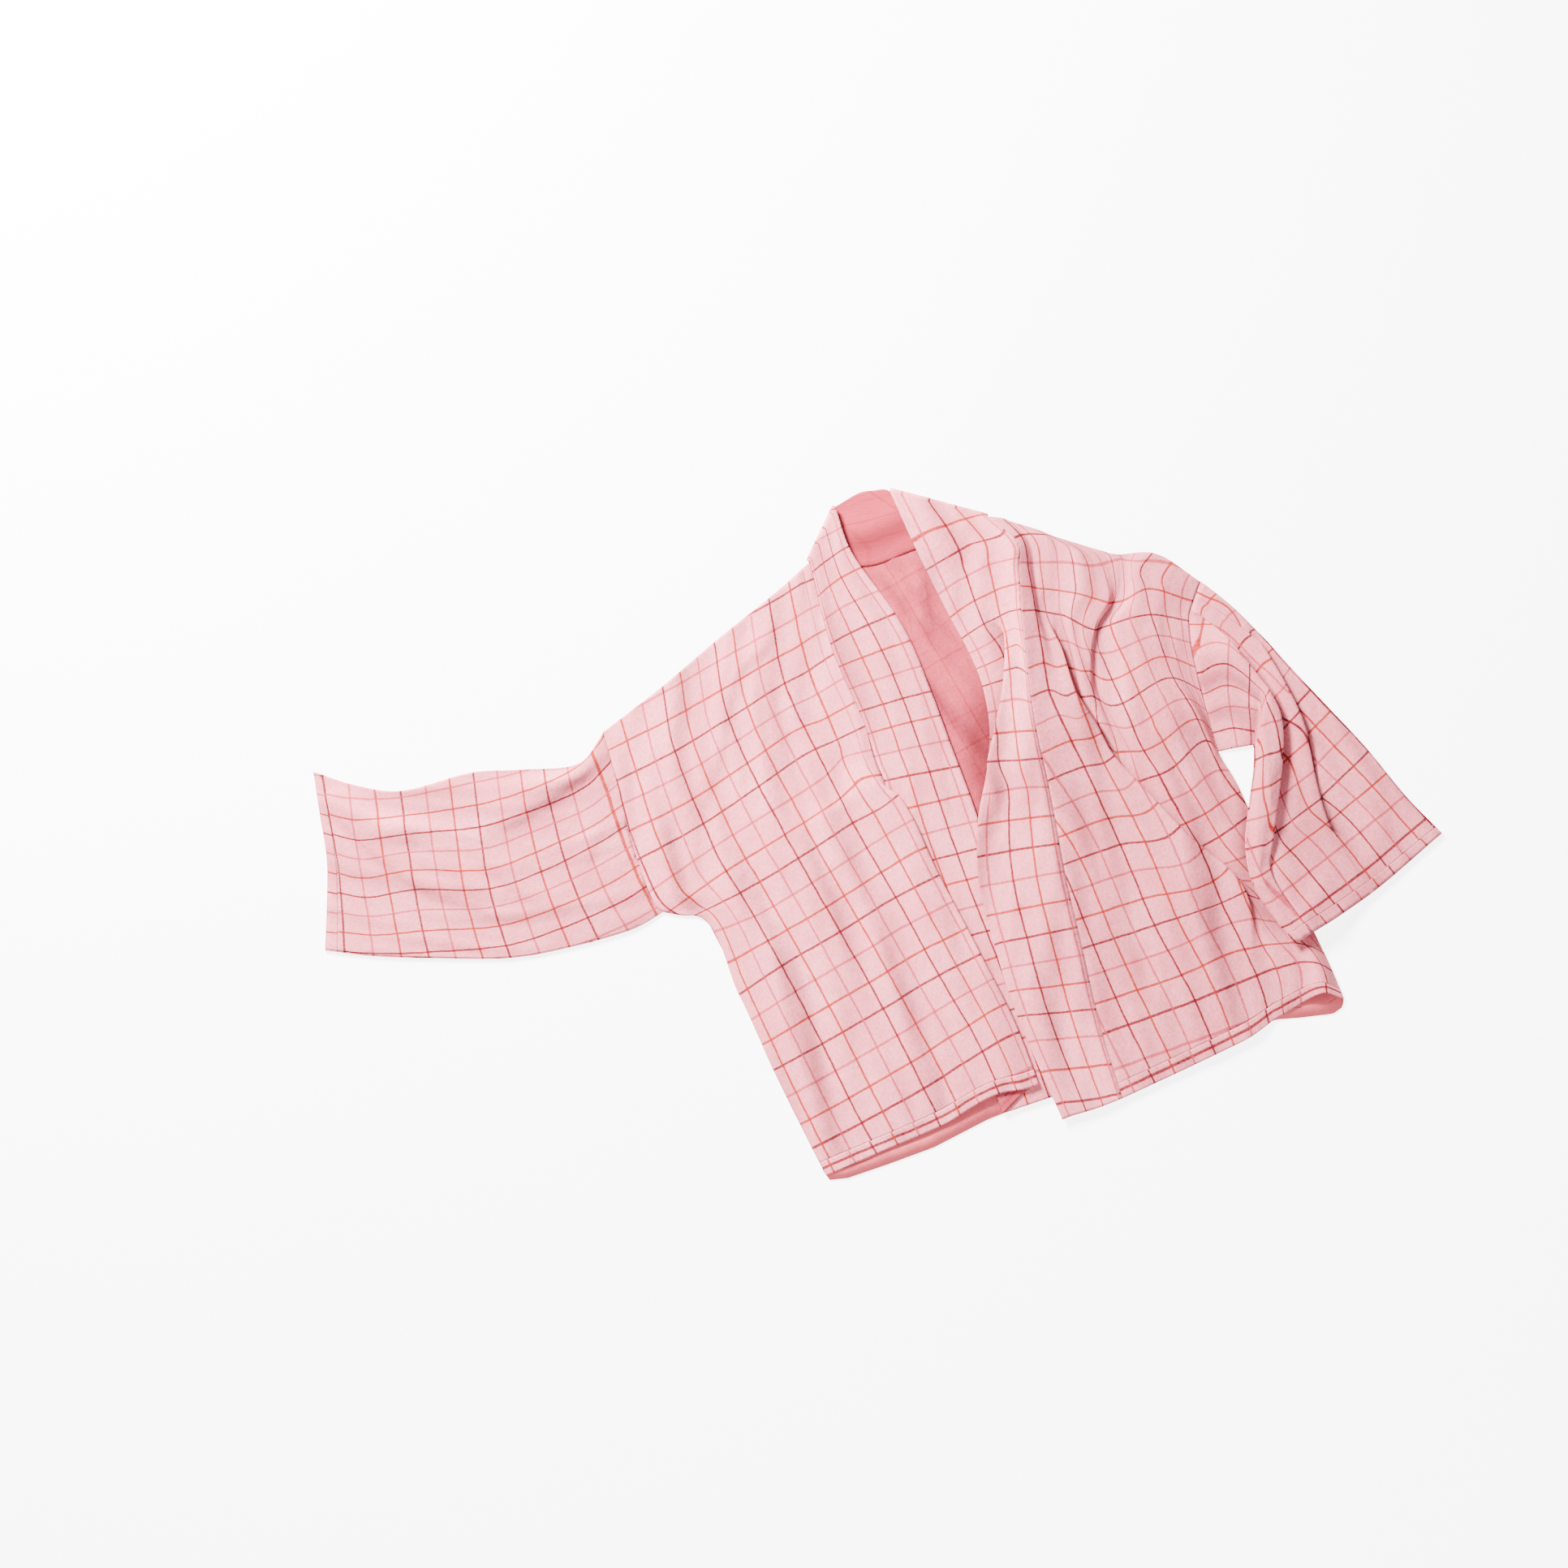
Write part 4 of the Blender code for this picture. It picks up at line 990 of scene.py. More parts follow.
def sleeve_rings(table, cloth_table, ridges, creases, edge, folded=False):
    """Middle surface of a flattened sleeve, ring by ring, and its places on the cut cloth.

    edge is the armhole that the first ring follows, from the underarm to the shoulder. A folded sleeve
    takes its heights and cloth places from the tables of its stations.
    """
    split = ROLL_ROW if folded else 0
    knots = np.arange(len(table))
    lengths = [np.linalg.norm(np.subtract(a[2], b[2])) for a, b in zip(table, table[1:])]
    counts = [1 if k + 1 == split else max(3, round(length / STEP)) for k, length in enumerate(lengths)]
    along = between(knots, counts)
    plan = in_blocks([row[:5] for row in table], along, split)
    lifts = np.maximum(in_blocks([row[5] for row in table], along, split), 0)
    if folded:
        heights = in_blocks(FOLDED_HEIGHTS, along, split)
        round_places = in_blocks(FOLDED_ROUND, along, split)
        along_places = in_blocks(FOLDED_ALONG, along, split)
        plain, doubled, overhang = folded_stations()
    else:
        places = in_blocks(cloth_table, along, 0)
    edge_steps = steps_along(edge)
    edge_share = edge_steps / edge_steps[-1]
    even_share = np.linspace(0, 1, len(edge)) ** SLEEVE_CROWDING
    section = np.linspace(0, 4, SECTION_POINTS)
    lines = [edge] + [smooth(np.arange(5), row, section) for row in plan[1:]]
    lows = np.array([line[0] for line in lines])
    highs = np.array([line[-1] for line in lines])
    from_low = inward_of(lows, plan[:, 2])
    from_high = inward_of(highs, plan[:, 2])
    turns = np.radians(SLEEVE_TURN)
    rings = []
    cloth = []
    for index, (line, lift) in enumerate(zip(lines, lifts)):
        steps = steps_along(line)
        whole = steps[-1]
        grown = min(along[index], 1)
        top_level = SIDE_LEVEL + (SLEEVE_TOP_LEVEL - SIDE_LEVEL) * grown
        turn = (top_level - BACK_LEVEL) / 2

        def rest(distance):
            return lift * np.clip(REST_FROM - REST_FALL * distance / whole, 0, 1) ** 2

        if folded:
            stations = smooth(np.arange(5), plan[index], section)
            walked = steps_along(stations)
            top = np.interp(plain, section, walked / walked[-1] * whole)
            drops = heights[index, [2, 4]] - heights[index, [3, 5]]
            drop = np.where(doubled < 3.5, *drops)
            top += overhang * np.clip(drop / FOLD_FULL, 0, 1) * FOLD_OVERHANG * grown
        else:
            top = whole * (edge_share + (even_share - edge_share) * grown)
        upper = at_level(along_line(line, top), 0)
        calm = np.clip(np.minimum(top, whole - top) / CALM_REACH, 0, 1)
        if folded:
            rise = smooth(np.arange(7), heights[index], doubled) * grown
            upper[:, 2] = top_level + rest(top) + np.maximum(rise, 0) * np.sqrt(calm)
        else:
            for ridge in ridges:
                upper[:, 2] = np.maximum(upper[:, 2], ridge_height(upper, ridge) * grown)
            upper[:, 2] = top_level + rest(top) + np.maximum(upper[:, 2] - rest(top), 0) * calm
        for crease in creases:
            upper[:, 2] += ridge_height(upper, crease) * grown * calm
        upper[:, 2] = np.maximum(upper[:, 2], top_level + rest(top))
        low = whole * np.linspace(1, 0, LOWER_POINTS)
        lower = at_level(along_line(line, low), BACK_LEVEL + rest(low))
        ends = ((highs[index], from_high[index], rest(whole)), (lows[index], from_low[index], rest(0.0)))
        if index == 0:
            ends = tuple((spot, line[at] - spot, raised) for (spot, _, raised), at in zip(ends, (-2, 1)))
            ends = tuple((spot, way / np.linalg.norm(way), raised) for spot, way, raised in ends)
        far, near = [
            [at_level(spot + way * turn * (1 - math.sin(angle)),
                      BACK_LEVEL + turn * (1 + math.cos(angle)) + raised)
             for angle in turns]
            for spot, way, raised in ends
        ]
        upper[0], upper[-1], lower[0], lower[-1] = near[0], far[0], far[-1], near[-1]
        rings.append(np.concatenate([upper, far[1:-1], lower, near[-2:0:-1]]))

        if folded:
            round_upper = np.interp(doubled, np.arange(7), round_places[index])
            along_upper = np.interp(doubled, np.arange(7), along_places[index])
        else:
            index_at = np.interp(top, steps, np.linspace(0, 4, len(line)))
            round_upper = smooth(np.arange(5), places[index, 2:], index_at)
            along_upper = places[index, 0] + (places[index, 1] - places[index, 0]) * top / whole
        way_round = np.sign(round_upper[-1] - round_upper[0])
        bend = np.linspace(0, 1, len(turns))[1:-1] * turn
        far_round = round_upper[-1] + way_round * bend
        lower_round = far_round[-1] + way_round * (whole - low)
        near_round = lower_round[-1] + way_round * bend
        closing = [near_round[-1] + turn / 4]
        all_round = np.concatenate([round_upper, far_round, lower_round, near_round, closing])
        along_lower = along_upper[0] + (along_upper[-1] - along_upper[0]) * low / whole
        all_along = np.concatenate([
            along_upper, [along_upper[-1]] * len(bend), along_lower, [along_upper[0]] * (len(bend) + 1)])
        cloth.append(np.stack([all_round, all_along], axis=-1))
    rings = np.array(rings)
    cloth = np.array(cloth)
    down = np.linalg.norm(np.diff(rings[:, :LOWER_POINTS].mean(axis=1), axis=0), axis=1)
    from_armhole = np.append(0, np.cumsum(down))[:, None] + 0 * cloth[..., 0]
    cuff = from_armhole[-1:] - from_armhole
    return rings, cloth, np.stack([cuff, from_armhole], axis=-1)


def normals_of(grid, closed=False, level_side=False):
    """Unit normals of a grid of points, closed round in its second direction if said.

    The first ring of a closed grid, and the last column of a front, face as if the cloth went level
    across the armhole seam, so that the two walls meet squarely.
    """
    down = np.gradient(grid, axis=0)
    if closed:
        across = (np.roll(grid, -1, axis=1) - np.roll(grid, 1, axis=1)) / 2
        plan = across[0, :, :2]
        square = np.stack([-plan[:, 1], plan[:, 0], np.zeros(len(plan))], axis=1)
        down[0] = square * np.sign(np.sum(square * down[0], axis=1))[:, None]
    else:
        across = np.gradient(grid, axis=1)
    if level_side:
        across[:, -1, 2] = 0
    normals = np.cross(down, across)
    return normals / np.linalg.norm(normals, axis=-1, keepdims=True)


def wall_quads(rows, columns, closed):
    """Corners of a wall's faces, outer sheet, inner sheet and rims: each an array of four columns."""
    size = rows * columns
    last = columns if closed else columns - 1
    i, j = [part.ravel() for part in np.meshgrid(np.arange(rows - 1), np.arange(last), indexing="ij")]
    ahead = (j + 1) % columns
    here = i * columns
    below = here + columns
    outer = np.stack([here + j, below + j, below + ahead, here + ahead], 1)
    cells = np.stack([i, j], 1)
    top = list(range(columns))
    bottom = [(rows - 1) * columns + k for k in range(columns)]
    if closed:
        rims = [top + [0], (bottom + [bottom[0]])[::-1]]
    else:
        right = [k * columns + columns - 1 for k in range(rows)]
        left = [k * columns for k in range(rows)]
        rims = [top, right, bottom[::-1], left[::-1]]
    edge = [(a, b, b + size, a + size) for rim in rims for a, b in zip(rim, rim[1:])]
    return outer, outer[:, ::-1] + size, np.array(edge), cells


def softened(values):
    """The same cells after a soft blur both ways."""
    reach = int(3 * HOLLOW_REACH / MAP_CELL)
    weight = np.exp(-((np.arange(-reach, reach + 1) * MAP_CELL / HOLLOW_REACH) ** 2) / 2)
    for axis in (0, 1):
        values = np.apply_along_axis(np.convolve, axis, values, weight / weight.sum(), mode="same")
    return values


def height_round_about(grids):
    """Mean height of the laid cloth round each cell of the plan, in millimetres."""
    top = np.zeros(MAP_SIZE)
    for grid in grids:
        cell = ((grid[..., :2] - MAP_FROM) / MAP_CELL).astype(int)
        np.maximum.at(top, (cell[..., 0], cell[..., 1]), grid[..., 2])
    known = (top > 0).astype(float)
    return softened(top) / np.maximum(softened(known), 0.05)


def hollow_at(points, mean_height):
    """From 0 to 1: how deep points lie under the cloth round about them."""
    place = (points[:, :2] - MAP_FROM) / MAP_CELL - 0.5
    cell = place.astype(int)
    part = place - cell
    mean = 0
    for i in (0, 1):
        for j in (0, 1):
            share = np.abs(1 - i - part[:, 0]) * np.abs(1 - j - part[:, 1])
            mean = mean + share * mean_height[cell[:, 0] + i, cell[:, 1] + j]
    return np.clip((mean - points[:, 2]) / HOLLOW_DEPTH, 0, 1)


def add_mesh(name, points, faces, slots, materials, layers):
    """A mesh in metres with smooth faces, a slot for each face and its places on the cut cloth."""
    mesh = bpy.data.meshes.new(name)
    corners = [tuple(p) for p in np.asarray(points) * MM]
    mesh.from_pydata(corners, [], [tuple(face) for face in faces.tolist()])
    for material in materials:
        mesh.materials.append(material)
    mesh.polygons.foreach_set("material_index", np.asarray(slots, dtype=np.int32))
    for key, values in layers.items():
        layer = mesh.uv_layers.new(name=key)
        layer.data.foreach_set("uv", np.asarray(values, dtype=np.float32).ravel())
    hollow = mesh.attributes.new("hollow", "FLOAT", "POINT")
    hollow.data.foreach_set("value", np.float32(hollow_at(points, MEAN_HEIGHT)))
    mesh.update()
    mesh.shade_smooth()
    piece = bpy.data.objects.new(name, mesh)
    bpy.context.scene.collection.objects.link(piece)
    return piece


def add_wall(name, grid, cloth, edges, normals, thickness, materials, closed=False, turned=False):
    """A cloth wall about a grid of middle points: outer sheet in the first material, inner in the second."""
    half = normals * np.asarray(thickness)[..., None] / 2
    if turned:
        half = -half
    points = np.concatenate([(grid + half).reshape(-1, 3), (grid - half).reshape(-1, 3)])
    rows, columns = grid.shape[:2]
    outer, inner, edge, cells = wall_quads(rows, columns, closed)
    wide = cloth.shape[1]
    here = cells[:, 0] * wide + cells[:, 1]
    corner = np.stack([here, here + wide, here + wide + 1, here + 1], 1)
    at_edge = edge % (rows * columns)
    at_edge = at_edge // columns * wide + at_edge % columns
    corners = np.concatenate([corner, corner[:, ::-1], at_edge])
    faces = np.concatenate([outer, inner, edge])
    if turned:
        faces = faces[:, ::-1]
        corners = corners[:, ::-1]
    slots = np.concatenate([np.zeros(len(outer)), np.ones(len(inner)), np.zeros(len(edge))])
    layers = {"cloth": cloth.reshape(-1, 2)[corners], "edges": edges.reshape(-1, 2)[corners]}
    return add_mesh(name, points, faces, slots, materials, layers)


def pull_back(grid, column, neighbour, gap):
    """Moves one edge column of a grid towards its neighbour by the gap."""
    inward = grid[:, neighbour] - grid[:, column]
    inward /= np.linalg.norm(inward, axis=1, keepdims=True)
    grid[:, column] += inward * gap


def laid_cloth():
    """Every piece's middle surface, its places on the cut cloth and its facing."""
    front_right, cloth_right, edges_right = front_right_grid()
    front_left, cloth_left, edges_left = front_left_grid()
    right_seam = front_right[:, -1].copy()
    room = fine_rows(FRONT_RIGHT_COLUMNS, FRONT_RIGHT, DOWN_RIGHT)["room"]
    right_seam[:, 0] += np.maximum(room, 0)
    band, cloth_band, edges_band = neckband_grid(right_seam, front_left[:, 0].copy())
    arm_right = finer(armhole_edge(front_right[:, ::-1], DOWN_RIGHT, ARMHOLE_RIGHT, -1), UPPER_POINTS)
    arm_left = finer(armhole_edge(front_left, DOWN_LEFT, ARMHOLE_LEFT, 1), UPPER_POINTS)
    pull_back(front_right, -1, -2, SEAM_GAP)
    pull_back(front_left, 0, 1, SEAM_GAP)
    pull_back(band, 0, 1, SEAM_GAP)
    facing_right = normals_of(front_right)
    facing_right[:, 0] = (0, 0, np.sign(facing_right[0, 0, 2]))
    facing_left = normals_of(front_left, level_side=True)
    facing_band = normals_of(band)
    count = len(front_left)
    shared = facing_left[:, 0] - facing_band[-count:, 0]
    shared /= np.linalg.norm(shared, axis=1, keepdims=True)
    facing_left[:, 0] = shared
    facing_band[-count:, 0] = -shared
    sleeve_right = sleeve_rings(
        SLEEVE_RIGHT, CLOTH_SLEEVE_RIGHT, (SHOULDER_RIDGE, CUFF_WAVE), SLEEVE_RIGHT_CREASES, arm_right)
    sleeve_left = sleeve_rings(
        FOLDED_SLEEVE, None, (), SLEEVE_LEFT_CREASES, arm_left, folded=True)
    return {
        "front_right": (front_right, cloth_right, edges_right, facing_right),
        "front_left": (front_left, cloth_left, edges_left, facing_left),
        "neckband": (band, cloth_band, edges_band, facing_band),
        "sleeve_right": (*sleeve_right, normals_of(sleeve_right[0], True)),
        "sleeve_left": (*sleeve_left, normals_of(sleeve_left[0], True)),
        "arms": (arm_left, arm_right),
    }


LAID = laid_cloth()
MEAN_HEIGHT = height_round_about([LAID[node][0] for node in CLOTH_FACES if node in LAID])


# Materials


class Amount:
    """A number in a shader, so that its maths reads as an expression."""

    def __init__(self, graph, socket):
        self.graph = graph
        self.socket = socket

    def __add__(self, other):
        return self.graph.math("ADD", self, other)

    def __sub__(self, other):
        return self.graph.math("SUBTRACT", self, other)

    def __rsub__(self, other):
        return self.graph.math("SUBTRACT", other, self)

    def __mul__(self, other):
        return self.graph.math("MULTIPLY", self, other)

    def __truediv__(self, other):
        return self.graph.math("DIVIDE", self, other)

    def __mod__(self, other):
        return self.graph.math("FLOORED_MODULO", self, other)

    def __lt__(self, other):
        return self.graph.math("LESS_THAN", self, other)

    def __abs__(self):
        return self.graph.math("ABSOLUTE", self)


class Graph:
    """The shader nodes of one material."""

    def __init__(self, name):
        self.material = bpy.data.materials.new(name)
        self.material.use_nodes = True
        self.nodes = self.material.node_tree.nodes
        self.links = self.material.node_tree.links
        self.shader = self.nodes["Principled BSDF"]

    def node(self, kind, settings=None, **inputs):
        """A node with its settings and its inputs, each by name: a number, a colour or another socket."""
        made = self.nodes.new(kind)
        for key, value in (settings or {}).items():
            setattr(made, key, value)
        for key, value in inputs.items():
            self.feed(made.inputs[key.replace("_", " ")], value)
        return made

    def feed(self, socket, value):
        if isinstance(value, Amount):
            value = value.socket
        if isinstance(value, bpy.types.NodeSocket):
            self.links.new(value, socket)
        else:
            socket.default_value = value

    def math(self, operation, *values):
        made = self.nodes.new("ShaderNodeMath")
        made.operation = operation
        for socket, value in zip(made.inputs, values):
            self.feed(socket, value)
        return Amount(self, made.outputs[0])

    def least(self, a, b):
        return self.math("MINIMUM", a, b)

    def most(self, a, b):
        return self.math("MAXIMUM", a, b)

    def clamp(self, a):
        return self.least(self.most(a, 0.0), 1.0)

    def vector(self, x, y, z):
        return self.node("ShaderNodeCombineXYZ", X=x, Y=y, Z=z).outputs["Vector"]

    def sine(self, a):
        return self.math("SINE", a)

    def blend(self, share, first, second, kind="MIX"):
        made = self.nodes.new("ShaderNodeMix")
        made.data_type = "RGBA"
        made.blend_type = kind
        self.feed(made.inputs["Factor"], share)
        self.feed(made.inputs["A"], first)
        self.feed(made.inputs["B"], second)
        return made.outputs["Result"]

    def cloth_place(self):
        """Place on the cut cloth in millimetres: across, along, and both together."""
        place = self.node("ShaderNodeUVMap", {"uv_map": "cloth"}).outputs["UV"]
        parts = self.node("ShaderNodeSeparateXYZ", Vector=place)
        return Amount(self, parts.outputs["X"]), Amount(self, parts.outputs["Y"]), place

    def edge_place(self):
        """Distances from the hem or cuff and from the nearest sewn seam, in millimetres."""
        place = self.node("ShaderNodeUVMap", {"uv_map": "edges"}).outputs["UV"]
        parts = self.node("ShaderNodeSeparateXYZ", Vector=place)
        return Amount(self, parts.outputs["X"]), Amount(self, parts.outputs["Y"])

    def hollow(self):
        """How deep the place lies between the folds, from 0 to 1."""
        read = self.node("ShaderNodeAttribute", {"attribute_name": "hollow"})
        return Amount(self, read.outputs["Fac"])

    def noise(self, place, scale, detail=2.0, roughness=0.5):
        made = self.node(
            "ShaderNodeTexNoise", Vector=place, Scale=scale, Detail=detail, Roughness=roughness)
        return Amount(self, made.outputs["Fac"])

    def bump(self, height, strength, distance):
        made = self.node("ShaderNodeBump", Height=height, Strength=strength, Distance=distance)
        self.feed(self.shader.inputs["Normal"], made.outputs["Normal"])

    def finish(self, colour, roughness):
        self.feed(self.shader.inputs["Base Color"], colour)
        self.feed(self.shader.inputs["Roughness"], roughness)
        return self.material


def check_lines(g, place, pitch, width, offset, wander):
    """How strongly each of the three coloured lines shows at a place across them."""
    shifted = place + (wander - 0.5) * LINE_WANDER - offset
    lines = []
    for k in range(3):
        away = abs((shifted - k * pitch + pitch * 1.5) % (pitch * 3) - pitch * 1.5)
        lines.append(g.clamp((width / 2 + LINE_EDGE / 2 - away) / LINE_EDGE))
    return lines


def sewn_relief(g, across, along, from_hem, from_seam, hem, seam_way):
    """Height in millimetres of the hem's strip, its groove and the puckers beside hem and seams."""
    way = along if seam_way == "along" else across
    seam_pucker = g.noise(g.vector(way, from_seam * PUCKER_STRETCH, 3.0), SEAM_PUCKER_NOISE)
    height = g.clamp(1 - from_seam / PUCKER_REACH) * (seam_pucker - 0.5) * PUCKER
    if hem:
        hem_pucker = g.noise(g.vector(across, from_hem * PUCKER_STRETCH, 9.0), HEM_PUCKER_NOISE)
        from_line = abs(from_hem - STITCH_AT_HEM)
        height = height + g.clamp(1 - from_line / PUCKER_REACH) * (hem_pucker - 0.5) * PUCKER
        height = height + g.clamp((STITCH_AT_HEM - from_hem) * HEM_STEP) * HEM_RISE
        height = height - g.clamp(1 - from_line / GROOVE_REACH) * GROOVE
    return height


def double_cloth(name, shade, ground, colours, face, shallow=0.0, lit_hem=None):
    """Woven cotton with the windowpane check: dark, orange and rose lines on a plain ground."""
    g = Graph(name)
    hem, seam_way, offset, painted_piece_shade = face
    across, along, place = g.cloth_place()
    from_hem, from_seam = g.edge_place()
    relief = sewn_relief(g, across, along, from_hem, from_seam, hem, seam_way)
    if hem:
        strip = from_hem < STITCH_AT_HEM
        across = across + strip * HEM_JOG
    if hem == "line":
        along = along * (1 - strip) + (HEM_LINE - from_hem + offset) * strip
    # Threads: uneven ones both ways, the weave's grain and broad paler places
    wander = g.noise(place, WANDER_NOISE)
    weave = g.sine(across * WEAVE) * g.sine(along * WEAVE) * 0.5 + 0.5
    thin, long = SLUB_STRETCH
    slub = g.noise(g.vector(across * thin, along * long, 0.0), SLUB_NOISE, 2.0, 0.6)
    slub_along = g.noise(g.vector(across * long, along * thin, 5.0), SLUB_NOISE, 2.0, 0.6)
    broad = g.noise(place, BROAD_NOISE, 3.0)
    grain = g.clamp((slub + slub_along - 1.0) * SLUB_CONTRAST + 0.5)
    colour = g.blend(g.clamp(broad * 2.0 - 0.5) * 0.5, ground, shade)
    colour = g.blend(g.clamp(grain * 0.6 + weave * 0.35 - 0.15), colour, shade)
    warps = check_lines(g, across, WARP_PITCH, WARP_LINE, 0.0, wander)
    wefts = check_lines(g, along, WEFT_PITCH, WEFT_LINE, offset, wander)
    for lines, order, strength in (
            (wefts, ("dark", "rose", "orange"), WEFT_STRENGTH),
            (warps, ("dark", "orange", "rose"), 1.0)):
        for line, tint in zip(lines, order):
            share = line * (grain * 0.14 + 0.88) * (colours[tint][1] * strength)
            colour = g.blend(g.clamp(share), colour, colours[tint][0])
    # Shade: in the hollows, then along soft folds, and the coral hem that faces the light
    near_hem = g.clamp(from_hem / HOLLOW_FROM_HEM)
    hollow = g.clamp((g.hollow() - shallow) * near_hem / (1 - shallow))
    # Painted shade: the shadow tint is multiplied in over the hollows, and over the whole piece by its share
    # from CLOTH_FACES
    colour = g.blend(g.most(hollow, painted_piece_shade), colour, (*SHADOW, 1.0), "MULTIPLY")
    softly, beside = (
        g.noise(
            g.vector(across + along * SOFT_SLANT + shift, along * SOFT_STRETCH, 7.0), SOFT_NOISE)
        for shift in (0.0, SOFT_LEAN))
    soft_shade = g.clamp((softly - beside) * SOFT_CONTRAST + SOFT_SHADE)
    colour = g.blend(soft_shade, colour, (*SHADOW, 1.0), "MULTIPLY")
    if lit_hem:
        colour = g.blend(g.clamp(1 - from_hem / LIT_HEM) * LIT_SHARE, colour, lit_hem)
    crumple = g.noise(place, CRUMPLE_NOISE, 4.0, 0.55)
    fine = g.noise(place, FINE_NOISE, 3.0, 0.5)
    height = relief + crumple * CRUMPLE + softly * SOFT_FOLDS
    height = height + fine * FINE_RISE + weave * WEAVE_RISE + grain * GRAIN_RISE
    g.bump(height, 1.0, MM)
    g.shader.inputs["Specular IOR Level"].default_value = CLOTH_SHINE
    return g.finish(colour, CLOTH_ROUGH)


def cloth_materials(node):
    """The checked outer face and the coral inner face of one piece's cloth."""
    s = bpy.context.scene.jacket_cloth
    tints = {"dark": s.dark_line, "orange": s.orange_line, "rose": s.rose_line}
    lines = {key: ((*tints[key], 1.0), LINE_STRENGTH[key]) for key in tints}
    through = {key: ((*s.coral_line, 1.0), THROUGH_STRENGTH[key]) for key in tints}
    coral = s.coral_neck if node == "neckband" else s.coral
    lit_hem = (*s.coral_lit, 1.0) if node == "back" else None
    face = CLOTH_FACES[node]
    outer = double_cloth(
        node + "_check", (*s.ground_shade, 1.0), (*s.ground, 1.0), lines, face)
    inner = double_cloth(
        node + "_coral", (*s.coral_shade, 1.0), (*coral, 1.0), through, face, CORAL_SHALLOW, lit_hem)
    return outer, inner


def stitch_thread(name, colour):
    """Fine matt sewing thread."""
    g = Graph(name)
    return g.finish((*colour, 1.0), THREAD_ROUGH)


def place_on_frame(piece, node):
    """The piece rides on the frame's body and stands for the plain solid."""
    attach(piece, "root")
    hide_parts(node)
    return piece


def wall_piece(name, node, closed=False, turned=False, thickness=None):
    """One cut piece, as a thin wall in its two-faced cloth."""
    s = bpy.context.scene.jacket_cloth
    grid, cloth, edges, facing = LAID[node]
    thick = s.thickness / MM if thickness is None else thickness
    thick = np.broadcast_to(thick, grid.shape[:2])
    materials = cloth_materials(node)
    if node == "neckband":
        materials = materials[::-1]
    piece = add_wall(name, grid, cloth, edges, facing, thick, materials, closed, turned)
    return place_on_frame(piece, node)


def back_grid():
    """The back as a sheet between its four edges: shoulders and neck, sides with armholes, hem."""
    right_shoulder, left_shoulder, left_side, hem, right_side = [np.array(s, float) for s in BACK_OUTLINE]
    arm_left, arm_right = LAID["arms"]
    neck = rows_of(BAND_NECK_COLUMNS, BAND_NECK)["seam"] + np.array([0.0, UNDER_BAND])
    inset = np.array([2 * SEAM_GAP, 0])
    lines = (
        np.concatenate([right_shoulder, neck, left_shoulder]),
        np.concatenate([(arm_right + inset)[::-1], right_side[::-1]]),
        hem[::-1],
        np.concatenate([(arm_left - inset)[::-1], left_side]),
    )
    counts = (BACK_ACROSS, BACK_DOWN, BACK_ACROSS, BACK_DOWN)
    top, right, bottom, left = [finer(line, count) for line, count in zip(lines, counts)]
    right[0], right[-1], left[0], left[-1] = top[0], bottom[0], top[-1], bottom[-1]
    u = np.linspace(0, 1, BACK_ACROSS)[None, :, None]
    v = np.linspace(0, 1, BACK_DOWN)[:, None, None]
    ruled = (1 - v) * top[None] + v * bottom[None] + (1 - u) * right[:, None] + u * left[:, None]
    above = (1 - u) * top[0] + u * top[-1]
    below = (1 - u) * bottom[0] + u * bottom[-1]
    return ruled - (1 - v) * above - v * below


class JACKET_PG_cloth(bpy.types.PropertyGroup):
    """Sizes and colours of the cloth."""

    thickness: bpy.props.FloatProperty(
        name="Cloth thickness", description="Thickness of the double cloth",
        default=0.0013, unit="LENGTH")
    band_thickness: bpy.props.FloatProperty(
        name="Band thickness", description="Thickness of the doubled neckband",
        default=0.0021, unit="LENGTH")
    ground: bpy.props.FloatVectorProperty(
        name="Ground", description="Pale pink ground of the check",
        default=(0.98, 0.33, 0.39), subtype="COLOR", size=3)
    ground_shade: bpy.props.FloatVectorProperty(
        name="Ground shade", description="Deeper pink in the hollows of the weave",
        default=(0.72, 0.115, 0.155), subtype="COLOR", size=3)
    dark_line: bpy.props.FloatVectorProperty(
        name="Dark line", description="Crimson lines of the check",
        default=(0.16, 0.005, 0.009), subtype="COLOR", size=3)
    orange_line: bpy.props.FloatVectorProperty(
        name="Orange line", description="Orange-red lines of the check",
        default=(0.36, 0.020, 0.009), subtype="COLOR", size=3)
    rose_line: bpy.props.FloatVectorProperty(
        name="Rose line", description="Rose lines of the check",
        default=(0.46, 0.036, 0.060), subtype="COLOR", size=3)
    coral: bpy.props.FloatVectorProperty(
        name="Reverse", description="Coral reverse of the cloth",
        default=(0.56, 0.085, 0.12), subtype="COLOR", size=3)
    coral_neck: bpy.props.FloatVectorProperty(
        name="Neckband's reverse", description="Coral of the neckband's inner side",
        default=(0.46, 0.050, 0.072), subtype="COLOR", size=3)
    coral_lit: bpy.props.FloatVectorProperty(
        name="Reverse at the hem", description="Coral in the open light at the hem",
        default=(0.92, 0.15, 0.18), subtype="COLOR", size=3)
    coral_shade: bpy.props.FloatVectorProperty(
        name="Reverse shade", description="Deeper coral in the hollows of the weave",
        default=(0.40, 0.036, 0.056), subtype="COLOR", size=3)
    coral_line: bpy.props.FloatVectorProperty(
        name="Reverse line", description="Check showing faintly through the reverse",
        default=(0.28, 0.012, 0.02), subtype="COLOR", size=3)


